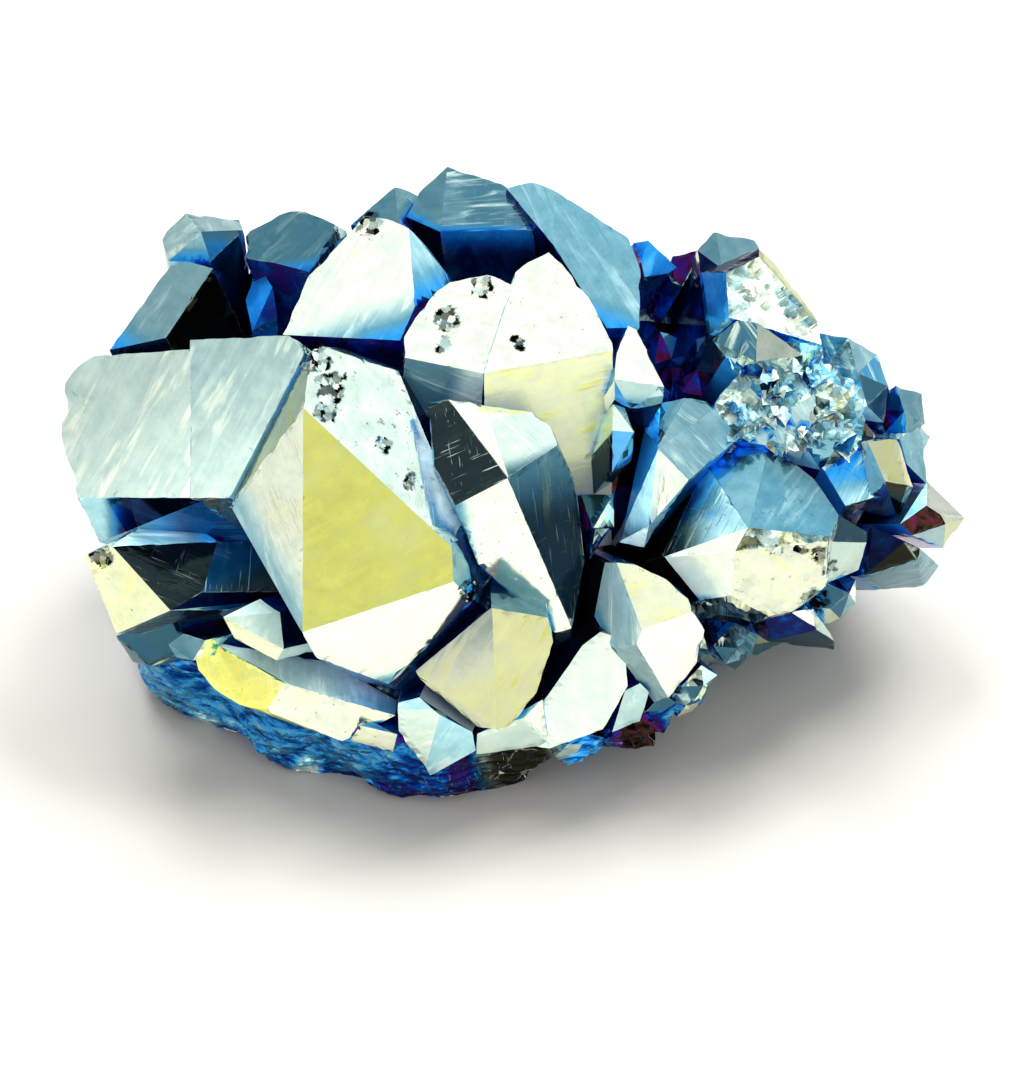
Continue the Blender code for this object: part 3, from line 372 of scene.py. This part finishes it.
# Knocks, where a face is chipped and crumbled: (across, up, radius, depth) in mm.
KNOCKS = (
    (-21.5, 28.0, 1.9, 0.5), (-20.0, 25.0, 1.9, 0.55), (-20.5, 22.3, 1.3, 0.4), (-14.0, 18.5, 1.0, 0.3),
    (-11.0, 14.5, 1.0, 0.3), (-7.0, 32.5, 1.6, 0.5), (-7.5, 29.5, 1.0, 0.3), (0.8, 29.8, 1.0, 0.35),
    (26.5, 7.9, 0.9, 0.5), (29.0, 7.4, 1.0, 0.6), (31.7, 7.1, 0.9, 0.5), (34.0, 6.3, 1.1, 0.6),
    (35.0, 5.0, 0.9, 0.5), (33.5, 1.2, 1.6, 0.7), (-4.5, 2.5, 1.2, 0.4), (-45.3, 6.4, 1.5, 0.9),
    (-15.5, 42.6, 1.6, 0.4), (-3.2, 35.8, 1.3, 0.6),
)

# Dents that the outline shows: (across, up, way in degrees, depth, radius), in mm.
DENTS = (
    (-48.6, 22.6, 0, 1.15, 1.9), (-48.4, 15.0, 10, 0.5, 1.6), (-49.4, 26.6, -30, 0.35, 1.0),
    (-27.6, 41.2, 180, 1.1, 1.7), (-27.6, 39.0, 180, 1.2, 1.7),
)

# The film on the matrix changes here: (across, up, radius, tone). Most are the film's own colours; the
# black, night and pool patches low on the front are painted shade.
STAINS_AND_SHADE = (
    (-5.0, -17.6, 3.5, "violet"), (1.0, -16.4, 6.0, "black"), (-11.0, -19.5, 4.5, "night"),
    (8.0, -15.0, 3.0, "azure"), (14.0, -14.2, 4.0, "soil"), (-15.0, -20.5, 2.5, "violet"),
    (-39.5, -12.0, 4.0, "teal"), (-34.0, -13.0, 2.5, "ice"), (-30.0, -17.5, 2.2, "pool"),
    (-22.5, -17.0, 2.0, "ice"), (-24.5, -20.5, 2.5, "pool"), (-36.5, -16.5, 1.8, "pool"),
)

# Faces of the back and the gaps take one of these by chance.
OTHER_TONES = ("white", "silver", "pale", "pale", "mist", "mist", "steel", "steel", "sky", "straw", "khaki")
OTHER_FINISHES = ("clean", "clouded", "streaked", "scratched", "pitted")

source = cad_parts["quartz_cluster"]
bm = bmesh.new()
bm.from_mesh(source.data)
bmesh.ops.remove_doubles(bm, verts=bm.verts, dist=SAME_POINT)
bmesh.ops.dissolve_limit(
    bm, angle_limit=BLUNTEST_EDGE, verts=bm.verts, edges=bm.edges, use_dissolve_boundaries=False
)
bm.normal_update()
face_number = bm.faces.layers.int.new("face_number")
bm.faces.ensure_lookup_table()
chance = random.Random(7)
faces = []  # of each grown face: normal, centre, ground, tone, finish, slant, fade
for number, face in enumerate(bm.faces):
    face[face_number] = number
    centre = face.calc_center_median()
    area = face.calc_area() / MM**2
    across, up = seen_at(centre)
    (middle_across, middle_up), (half_width, half_height) = BROKEN_GROUND
    on_broken_ground = math.hypot((across - middle_across) / half_width, (up - middle_up) / half_height) < 1
    on_matrix = area < MATRIX_PATCH and centre.z < MATRIX_TOP * MM
    on_foot = area < FOOT_PATCH and centre.z < FOOT_TOP * MM
    if face.normal.z < -0.99 and centre.z < 0.1 * MM:
        ground = "underside"
    elif on_matrix or on_foot:
        ground = "matrix"
    elif area < BROKEN_PATCH or (on_broken_ground and area < LARGEST_BROKEN_PIECE and face.normal.z > 0):
        ground = "broken"
    else:
        ground = "face"
    tone = chance.choice(OTHER_TONES)
    finish = chance.choice(OTHER_FINISHES)
    faces.append([face.normal.copy(), centre, ground, tone, finish, None, None])
tree = BVHTree.FromBMesh(bm)
eye = camera.location
named = set()
bounced_faces = {}
even_faces = set()
for name, (across, up, tone, finish, *slant) in FACES.items():
    number = tree.ray_cast(eye, on_the_face(across, up, FOCUS_OUT) - eye)[2]
    ground = "broken" if finish == "broken" else "face"
    fade = None
    if name in FADES:
        far_tone, way, start, end = (*FADES[name], 1.0)[:4]
        way = way_on_face(way)
        reach = [vert.co.dot(way) for vert in bm.faces[number].verts]
        across_it = max(reach) - min(reach)
        fade = (far_tone, way, min(reach) + across_it * start, min(reach) + across_it * end)
    faces[number][2:] = [ground, tone, finish, slant[0] if slant else None, fade]
    if name in BOUNCED:
        bounced_faces[number] = BOUNCED[name]
    if name in EVENLY_COATED:
        even_faces.add(number)
    named.add(number)

# A small face without a name takes the tone of the named face that it shares its longest edge with.
for number, face in enumerate(bm.faces):
    if number in named or faces[number][2] != "face" or face.calc_area() > SMALL_FACE * MM**2:
        continue
    beside = [
        (edge.calc_length(), other.index)
        for edge in face.edges
        for other in edge.link_faces
        if other.index in named
    ]
    if beside:
        faces[number][3:5] = faces[max(beside)[1]][3:5]


def at_the_front(place):
    """Whether nothing stands between the camera and this place."""
    way = place - eye
    distance = tree.ray_cast(eye, way)[3]
    return distance is None or distance > way.length - 1.0 * MM


def knock_at(place):
    """How strong the nearest knock is here, 0 to 1, and its depth."""
    across, up = seen_at(place)
    found = (0.0, 0.0)
    for middle_across, middle_up, radius, depth in KNOCKS:
        if abs(across - middle_across) > radius or abs(up - middle_up) > radius:
            continue
        away = math.hypot(across - middle_across, up - middle_up) / radius
        away += 0.6 * noise.noise(place / (0.9 * MM))
        if away < 1 and at_the_front(place):
            found = max(found, (1 - away * away, depth))
    return found


def shard_at(place, size):
    """The middle of this place's shard, of shards about this wide in mm, and the shard's luck, 0 to 1."""
    middle = noise.voronoi(place / (size * MM))[1][0] * size * MM
    return middle, noise.cell(middle / (0.013 * MM))


def shard_height(place, size, steepness):
    """How far out the leaning face of its shard stands here, in mm."""
    middle, luck = shard_at(place, size)
    lean = noise.cell_vector(middle / (0.017 * MM)) - Vector((0.5, 0.5, 0.5))
    return lean.dot(place - middle) / MM * steepness + (luck - 0.5) * size * 0.3


def longest_edge(number):
    """How long the edges of this grown face may be in the fine mesh, in mm. The back is the plainest."""
    if faces[number][0].dot(OUT_OF_FACE) < 0:
        coarser = COARSER_BEHIND
    else:
        coarser = 1.0 if number in named else COARSER_UNNAMED
    return LONGEST_EDGE[faces[number][2]] * coarser


bmesh.ops.triangulate(bm, faces=bm.faces)
for _ in range(11):
    long_edges = []
    for edge in bm.edges:
        limit = min(longest_edge(face[face_number]) for face in edge.link_faces)
        if edge.calc_length() > limit * MM:
            long_edges.append(edge)
    if not long_edges:
        break
    bmesh.ops.subdivide_edges(bm, edges=long_edges, cuts=1, use_grid_fill=False)
    bmesh.ops.triangulate(bm, faces=[face for face in bm.faces if len(face.verts) > 3])
for _ in range(2):
    knocked = [vert for vert in bm.verts if knock_at(vert.co)[0] and vert.normal.dot(OUT_OF_FACE) > -0.1]
    edges = {edge for vert in knocked for edge in vert.link_edges if edge.calc_length() > KNOCKED_EDGE * MM}
    bmesh.ops.subdivide_edges(bm, edges=list(edges), cuts=1, use_grid_fill=False)
    bmesh.ops.triangulate(bm, faces=[face for face in bm.faces if len(face.verts) > 3])

# Broken ground is shards, the matrix is layered, and the outer edges of the crystals are worn.
bm.normal_update()
bm.verts.ensure_lookup_table()
ridge_verts = set()
for edge in bm.edges:
    if edge.calc_face_angle_signed(0) > RIDGE:
        ridge_verts.update(vert.index for vert in edge.verts)
moves = {}
worn = {}
dented = {}
for vert in bm.verts:
    grounds = {faces[face[face_number]][2] for face in vert.link_faces}
    if grounds == {"broken"}:
        height = shard_height(vert.co, BROKEN_SHARDS, 1.0) + shard_height(vert.co, SMALL_SHARDS, 0.7)
        moves[vert.index] = vert.normal * (max(-0.75, min(0.5, height)) - 0.35) * MM
    elif grounds == {"matrix"}:
        layered = Vector((vert.co.x * 0.5, vert.co.y * 0.5, vert.co.z * 2.2)) / (1.5 * MM)
        moves[vert.index] = vert.normal * (noise.fractal(layered, 1.0, 2.0, 3) * 0.42 - 0.15) * MM
    elif vert.index in ridge_verts:
        nicks = max(0.0, noise.noise(vert.co / (1.9 * MM)) - 0.05)
        wear = 0.05 + 0.3 * nicks + 0.1 * noise.noise(vert.co / (0.5 * MM))
        worn[vert.index] = -vert.normal * max(0.0, wear) * MM
    if not grounds & {"broken", "matrix"}:
        strength, depth = knock_at(vert.co)
        if strength and vert.normal.dot(OUT_OF_FACE) > -0.1:
            crumb = max(0.0, min(1.0, 0.45 + shard_height(vert.co, CRUMBS, 1.2)))
            moves[vert.index] = vert.normal * -min(1.0, strength * 1.6) * crumb * depth * 0.75 * MM
        across, up = seen_at(vert.co)
        for middle_across, middle_up, way, depth, radius in DENTS:
            away = math.hypot(across - middle_across, up - middle_up) / radius
            if away < 1 and vert.normal.dot(OUT_OF_FACE) > -0.6 and at_the_front(vert.co):
                dented[vert.index] = way_on_face(way) * depth * (1 - away * away) ** 1.5 * MM
for index, move in (worn | moves | dented).items():
    vert = bm.verts[index]
    vert.co += move
    vert.co.z = max(vert.co.z, 0.0)
edge_verts = set()
for edge in bm.edges:
    if edge.calc_face_angle(0) > SHARP_EDGE:
        edge_verts.update(vert.index for vert in edge.verts)

mesh = bpy.data.meshes.new("quartz")
bm.to_mesh(mesh)
bm.free()
quartz = bpy.data.objects.new("quartz", mesh)
bpy.context.scene.collection.objects.link(quartz)
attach(quartz, "root")
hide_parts("quartz_cluster")

# The vapour comes from all round, so the film at a corner is as thick as the corner is open: how far
# RAYS lines from it get, up to REACH, before they meet a crystal. The thinner, darker film in the crevices
# is also painted shade there.
RAYS = 24
REACH = 14 * MM
GOLDEN_ANGLE = 2.399963  # radians
MOST_OPEN = 0.88  # the share of the lines that count, on a plain open face
rays = []
for ray in range(RAYS):
    height = math.sqrt(1 - (ray + 0.5) / RAYS)
    side = math.sqrt(1 - height * height)
    turn = ray * GOLDEN_ANGLE
    rays.append(Vector((side * math.cos(turn), side * math.sin(turn), height)))
crystals = BVHTree.FromPolygons(
    [vertex.co for vertex in source.data.vertices], [polygon.vertices[:] for polygon in source.data.polygons]
)
numbers = np.zeros(len(mesh.polygons), np.int32)
mesh.attributes["face_number"].data.foreach_get("value", numbers)

# Shards of broken ground, by its tone: each takes one of these (film, painted shine) by chance, so each
# shard gets a painted glint or painted shade.
BROKEN_GLINTS = {
    "white": (
        (0.87, 1.0), (0.8, 0.95), (0.84, 1.0), (0.76, 0.8),
        (0.86, 1.0), (0.72, 0.6), (0.83, 1.0), (0.78, 0.65),
    ),
    "khaki": ((0.92, 0.8), (0.9, 1.1), (0.87, 1.2), (0.8, 0.9), (0.93, 0.35), (0.7, 0.9)),
    "teal": ((0.61, 0.4), (0.6, 0.15), (0.63, 0.6), (0.87, 1.2), (0.6, 0.2), (0.66, 0.8)),
    "mixed": (
        (0.74, 1.2), (0.87, 1.3), (0.7, 1.2), (0.67, 1.0), (0.77, 1.2),
        (0.65, 1.5), (0.85, 1.1), (0.63, 1.1), (0.75, 1.4), (0.71, 1.1),
    ),
}
openness = {}
turned = {}
corners = len(mesh.loops)
film = np.zeros(corners, np.float32)
satin = np.zeros(corners, np.float32)
grain = np.zeros((corners, 3), np.float32)
marks = np.zeros((corners, 3), np.float32)
looks = np.zeros((corners, 3), np.float32)
axes = {}
seen_from = {}
for polygon in mesh.polygons:
    number = int(numbers[polygon.index])
    normal, centre, ground, tone, finish, slant, fade = faces[number]
    if number not in turned:
        turn = normal.to_track_quat("Z", "Y").to_matrix()
        turned[number] = [turn @ ray for ray in rays]
        if slant is None:
            along = normal.cross(centre - on_the_face(0, 5, 0))
        else:
            along = way_on_face(slant)
        along = (along - normal * along.dot(normal)).normalized()
        axes[number] = (along, normal.cross(along))
        seen_from[number] = []
    for vertex in polygon.vertices:
        key = (vertex, number)
        if key in openness:
            continue
        place = mesh.vertices[vertex].co
        moved = vertex in moves or vertex in dented
        lift = 1.3 if moved or ground in ("broken", "matrix") else 0.3
        start = place + (centre - place).normalized() * 0.15 * MM + normal * lift * MM
        seen = 0.0
        for direction in turned[number]:
            distance = crystals.ray_cast(start, direction, REACH)[3]
            seen += 1.0 if distance is None else distance / REACH
        openness[key] = seen / RAYS
        seen_from[number].append(openness[key])

# Of each corner of a face: how thick the film is, how satin, and the streaks, marks and looks there.
for polygon in mesh.polygons:
    number = int(numbers[polygon.index])
    normal, centre, ground, tone, finish, slant, fade = faces[number]
    along, across_grain = axes[number]
    most_open = MOST_OPEN
    bounced = bounced_faces.get(number, 0.0)
    if number in named:
        most_open = min(most_open, float(np.percentile(seen_from[number], 75)))
    glint = shard_at(polygon.center, BROKEN_SHARDS if ground == "broken" else CRUMBS)[1]
    small_glint = shard_at(polygon.center, SMALL_SHARDS)[1]
    for loop in polygon.loop_indices:
        vertex = mesh.loops[loop].vertex_index
        place = mesh.vertices[vertex].co
        thickness, painted_shine = TONES[tone]
        streaks, scratches, pits = FINISHES[finish]
        opened = min(openness[vertex, number] / most_open, 1.0)
        # drop: how much the film thins in a shut-in corner; as thin film is dark, this is also painted shade
        if bounced:
            drop = 0.25 * max(0.0, 1 - opened / 0.4)
        elif number in even_faces:
            drop = 0.08 * max(0.0, 1 - opened)
        elif number in named:
            drop = 0.6 * max(0.0, 1 - opened / 0.58) ** 1.15
        else:
            drop = 0.66 * max(0.0, 1 - opened) ** 1.15
        if fade:
            far_tone, way, nearest, furthest = fade
            share = min(max((place.dot(way) - nearest) / (furthest - nearest), 0.0), 1.0)
            share = share * share * (3 - 2 * share)
            thickness += (TONES[far_tone][0] - thickness) * share
            painted_shine += (TONES[far_tone][1] - painted_shine) * share
        if ground == "broken":
            glints = BROKEN_GLINTS.get(tone, BROKEN_GLINTS["mixed"])
            thickness, painted_shine = glints[int(glint * (len(glints) - 0.01))]
            # painted glints: smaller shards within a shard are painted brighter or darker by chance
            painted_shine *= 0.82 + 0.45 * small_glint
            drop *= 0.2
        elif ground == "matrix":
            thickness, painted_shine = TONES["matrix"]
            # painted shade: the matrix's film is made thinner, and so darker, in the lowest 3.5 mm by the
            # floor
            thickness -= 0.1 * max(0.0, 1 - place.z / (3.5 * MM))
            across, up = seen_at(place)
            for middle_across, middle_up, radius, stain_and_shade_tone in STAINS_AND_SHADE:
                away = math.hypot(across - middle_across, up - middle_up) / radius
                if away < 1:
                    share = min(1.0, 2.0 * (1 - away))
                    thickness += (TONES[stain_and_shade_tone][0] - thickness) * share
                    painted_shine += (TONES[stain_and_shade_tone][1] - painted_shine) * share
        elif vertex in moves:
            pits = 0.4
            # painted glints and painted shade among the crumbs of a knock
            painted_shine *= 0.5 + 0.75 * glint
            thickness += 0.07 * (small_glint - 0.3)
        film[loop] = thickness - drop * thickness / TONES["white"][0]
        satin[loop] = 0.04 + 0.3 * max(0.0, 1 - openness[vertex, number] / 0.6)
        if ground == "broken":
            satin[loop] = 0.8
        if bounced:
            satin[loop] = 0.85
        elif number in even_faces:
            satin[loop] = max(satin[loop], min(0.9, 3.0 * (0.85 - opened)))
        offset = (place - centre) / MM
        grain[loop] = (offset.dot(along), offset.dot(across_grain), number * 7.31 % 97)
        marks[loop] = (streaks, scratches, pits)
        roughness = {"broken": 0.5, "matrix": 1.0}.get(ground, 0.0)
        # the painted shine, raised on faces with painted bounce light
        looks[loop] = (painted_shine * (bounced or 1.0), vertex in edge_verts, roughness)
for name, kind, values in (
    ("film", "FLOAT", film), ("satin", "FLOAT", satin), ("grain", "FLOAT_VECTOR", grain),
    ("marks", "FLOAT_VECTOR", marks), ("looks", "FLOAT_VECTOR", looks),
):
    attribute = mesh.attributes.new(name, kind, "CORNER")
    attribute.data.foreach_set("vector" if kind == "FLOAT_VECTOR" else "value", values.ravel())

# The coating: a metal film whose colour follows its thickness, with growth streaks, scratches and pits.
coating = bpy.data.materials.new("titanium film on quartz")
coating.use_nodes = True
nodes, links = coating.node_tree.nodes, coating.node_tree.links
shader = nodes["Principled BSDF"]


def attribute_node(name):
    node = nodes.new("ShaderNodeAttribute")
    node.attribute_name = name
    return node


def separate(vector):
    node = nodes.new("ShaderNodeSeparateXYZ")
    links.new(vector, node.inputs[0])
    return node.outputs


def maths(operation, first, second=None, third=None):
    node = nodes.new("ShaderNodeMath")
    node.operation = operation
    for socket, value in zip(node.inputs, (first, second, third)):
        if isinstance(value, (int, float)):
            socket.default_value = value
        elif value is not None:
            links.new(value, socket)
    return node.outputs[0]


def noise_of(vector, stretch, detail=3.0, roughness=0.6, twist=0.0):
    """A noise of this place in mm, stretched, and centred on 0."""
    scaled = nodes.new("ShaderNodeVectorMath")
    scaled.operation = "MULTIPLY"
    links.new(vector, scaled.inputs[0])
    scaled.inputs[1].default_value = stretch
    texture = nodes.new("ShaderNodeTexNoise")
    texture.inputs["Scale"].default_value = 1.0
    texture.inputs["Detail"].default_value = detail
    texture.inputs["Roughness"].default_value = roughness
    texture.inputs["Distortion"].default_value = twist
    links.new(scaled.outputs[0], texture.inputs["Vector"])
    return maths("SUBTRACT", texture.outputs["Fac"], 0.5)


def step(value, low, high):
    node = nodes.new("ShaderNodeMapRange")
    node.interpolation_type = "SMOOTHSTEP"
    node.inputs["From Min"].default_value = low
    node.inputs["From Max"].default_value = high
    links.new(value, node.inputs["Value"])
    return node.outputs["Result"]


# what the mesh says of this corner
film_value = attribute_node("film").outputs["Fac"]
satin_value = attribute_node("satin").outputs["Fac"]
links.new(maths("SUBTRACT", 1.0, satin_value), shader.inputs["Metallic"])
place_on_face = attribute_node("grain").outputs["Vector"]
streaks, scratches, pits = separate(attribute_node("marks").outputs["Vector"])
painted_shine, edge, ground = separate(attribute_node("looks").outputs["Vector"])
is_matrix = maths("GREATER_THAN", ground, 0.75)
position = nodes.new("ShaderNodeTexCoord").outputs["Object"]

# the marks, from the largest to the finest
cloud = noise_of(place_on_face, (0.16, 0.22, 1.0), 2.0)
wisps = noise_of(place_on_face, (0.11, 0.7, 1.0), 4.0, 0.55, 0.7)
streak = maths("MULTIPLY", step(cloud, -0.15, 0.1), maths("SUBTRACT", step(wisps, 0.0, 0.16), 0.25))
deep = noise_of(place_on_face, (0.55, 0.4, 1.0), 4.0, 0.6, 0.8)
in_deep = step(film_value, 0.5, 0.3)
grit = noise_of(place_on_face, (2.2, 2.2, 1.0), 3.0)
mottle = noise_of(place_on_face, (0.5, 0.5, 1.0), 5.0, 0.62, 0.3)
growth = noise_of(place_on_face, (0.045, 1.5, 1.0), 3.0, 0.6, 0.6)
long_scratch = step(noise_of(place_on_face, (0.16, 3.6, 1.0), 2.0), 0.14, 0.2)
cross_scratch = step(noise_of(place_on_face, (2.6, 0.3, 1.0), 2.0, 0.6, 1.0), 0.17, 0.22)
scratch = maths("MULTIPLY", maths("MAXIMUM", long_scratch, maths("MULTIPLY", cross_scratch, 0.55)), scratches)
pit = maths("MULTIPLY", step(noise_of(place_on_face, (1.2, 1.0, 1.0), 5.0, 0.7), 0.13, 0.2), pits)
chip = maths("MULTIPLY", edge, step(noise_of(place_on_face, (0.7, 0.7, 1.0), 3.0), 0.12, 0.2))
fibre = noise_of(position, (300.0, 300.0, 1500.0), 4.0, 0.65)

# how thick the film is here, with what the marks add to it
film_here = maths("MULTIPLY_ADD", maths("MULTIPLY", streak, streaks), 0.10, film_value)
film_here = maths("MULTIPLY_ADD", cloud, 0.07, film_here)
film_here = maths("MULTIPLY_ADD", mottle, 0.06, film_here)
film_here = maths("MULTIPLY_ADD", maths("MULTIPLY", growth, streaks), 0.04, film_here)
film_here = maths("MULTIPLY_ADD", maths("MULTIPLY", deep, in_deep), 0.55, film_here)
film_here = maths("MULTIPLY_ADD", scratch, -0.05, film_here)
fibre_film = maths("MULTIPLY", maths("MULTIPLY", fibre, is_matrix), step(film_value, 0.15, 0.5))
film_here = maths("MULTIPLY_ADD", fibre_film, 0.7, film_here)

# The interference colours of the film, from the thinnest to the thickest.
ramp = nodes.new("ShaderNodeValToRGB")
FILM_COLOURS = (
    (0.00, (0.010, 0.009, 0.012)), (0.10, (0.14, 0.06, 0.02)), (0.18, (0.32, 0.02, 0.16)),
    (0.26, (0.12, 0.02, 0.50)), (0.34, (0.01, 0.04, 0.42)), (0.42, (0.0, 0.12, 0.60)),
    (0.52, (0.03, 0.36, 0.85)), (0.62, (0.12, 0.35, 0.46)), (0.70, (0.32, 0.57, 0.63)),
    (0.80, (0.64, 0.84, 0.76)), (0.88, (0.88, 0.95, 0.76)), (0.945, (0.80, 0.84, 0.42)),
    (1.00, (0.66, 0.68, 0.16)),
)
stops = ramp.color_ramp.elements
for place, colour in FILM_COLOURS:
    stop = stops[0] if place == 0.0 else stops[-1] if place == 1.0 else stops.new(place)
    stop.color = (*colour, 1.0)
links.new(film_here, ramp.inputs["Fac"])

# how bright that colour is painted here: the painted shine, with the marks and painted glints
dimmed = nodes.new("ShaderNodeVectorMath")
dimmed.operation = "SCALE"
links.new(ramp.outputs["Color"], dimmed.inputs[0])
blemish = maths("MAXIMUM", pit, maths("MULTIPLY", chip, 0.7))
brightness = maths("MULTIPLY_ADD", blemish, -0.55, 1.0)
brightness = maths("MULTIPLY_ADD", mottle, maths("MULTIPLY_ADD", pits, 0.5, 0.35), brightness)
brightness = maths("MULTIPLY_ADD", maths("MULTIPLY", growth, streaks), 0.25, brightness)
brightness = maths("MULTIPLY_ADD", maths("MULTIPLY", streak, streaks), 0.28, brightness)
# painted glints of light in the thin film of the crevices
glow = maths("MULTIPLY", maths("SUBTRACT", deep, 0.1), in_deep)
brightness = maths("MULTIPLY_ADD", glow, 2.6, brightness)
brightness = maths("MULTIPLY_ADD", maths("MULTIPLY", fibre, is_matrix), 3.2, brightness)
brightness = maths("MAXIMUM", brightness, 0.04)
links.new(maths("MULTIPLY", painted_shine, brightness), dimmed.inputs["Scale"])

# scratches show bare quartz through the film; along sharp edges the rub is partly wear, partly a painted
# highlight
scored_and_highlit = nodes.new("ShaderNodeMix")
scored_and_highlit.data_type = "RGBA"
rub_and_edge_highlight = maths("MULTIPLY", step(edge, 0.75, 1.0), step(film_value, 0.45, 0.6))
rub_and_edge_highlight = maths("MULTIPLY", rub_and_edge_highlight, step(mottle, -0.1, 0.12))
marked = maths("MAXIMUM", scratch, maths("MULTIPLY", rub_and_edge_highlight, 0.5))
links.new(maths("MULTIPLY", marked, maths("SUBTRACT", 1.0, painted_shine)), scored_and_highlit.inputs["Factor"])
links.new(dimmed.outputs[0], scored_and_highlit.inputs["A"])
scored_and_highlit.inputs["B"].default_value = (0.7, 0.84, 0.78, 1)
links.new(scored_and_highlit.outputs["Result"], shader.inputs["Base Color"])
roughness = maths("MULTIPLY_ADD", ground, 0.15, maths("MULTIPLY_ADD", scratch, 0.15, 0.12))
links.new(roughness, shader.inputs["Roughness"])

# the relief that is finer than the mesh
height = maths("MULTIPLY_ADD", streak, maths("MULTIPLY", streaks, 0.6), maths("MULTIPLY", scratch, -0.5))
height = maths("MULTIPLY_ADD", pit, -1.0, height)
height = maths("MULTIPLY_ADD", grit, maths("MULTIPLY_ADD", ground, 1.0, 0.06), height)
height = maths("MULTIPLY_ADD", maths("MULTIPLY", fibre, is_matrix), 2.0, height)
bump = nodes.new("ShaderNodeBump")
bump.inputs["Distance"].default_value = 0.0001
bump.inputs["Strength"].default_value = 0.6
links.new(height, bump.inputs["Height"])
links.new(bump.outputs["Normal"], shader.inputs["Normal"])
mesh.materials.append(coating)

# ---- The floor ---------------------------------------------------------------------------------
# A sheet of plain white paper, wider than the camera sees. The cluster lies loose on it, on its own
# flat underside.
bpy.ops.mesh.primitive_plane_add(size=6.0, location=(0, 0, 0))
floor = bpy.context.object
floor.name = "floor"
paper = bpy.data.materials.new("white paper")
paper.use_nodes = True
paper_shader = paper.node_tree.nodes["Principled BSDF"]
paper_shader.inputs["Base Color"].default_value = (0.47, 0.455, 0.425, 1)
paper_shader.inputs["Roughness"].default_value = 0.9
paper_shader.inputs["Specular IOR Level"].default_value = 0.1
floor.data.materials.append(paper)

# ---- The light ---------------------------------------------------------------------------------
# A white room, with two softboxes over the back. The film mirrors only the room, and the softboxes
# light the paper and the satin ground.
world = bpy.data.worlds.new("studio")
bpy.context.scene.world = world
world.use_nodes = True
world.node_tree.nodes["Background"].inputs["Color"].default_value = (1, 1, 1, 1)
world.node_tree.nodes["Background"].inputs["Strength"].default_value = 1.05


def softbox(name, place, size, energy):
    light = bpy.data.lights.new(name, "AREA")
    light.shape = "RECTANGLE"
    light.size, light.size_y = size
    light.energy = energy
    obj = bpy.data.objects.new(name, light)
    obj.location = place
    obj.rotation_euler = (-Vector(place)).to_track_quat("-Z", "Y").to_euler()
    obj.visible_glossy = False
    bpy.context.scene.collection.objects.link(obj)


softbox("back left", (-0.22, 0.34, 0.84), (0.42, 0.42), 8.5)
softbox("back right", (0.34, 0.32, 0.82), (0.42, 0.42), 10.0)
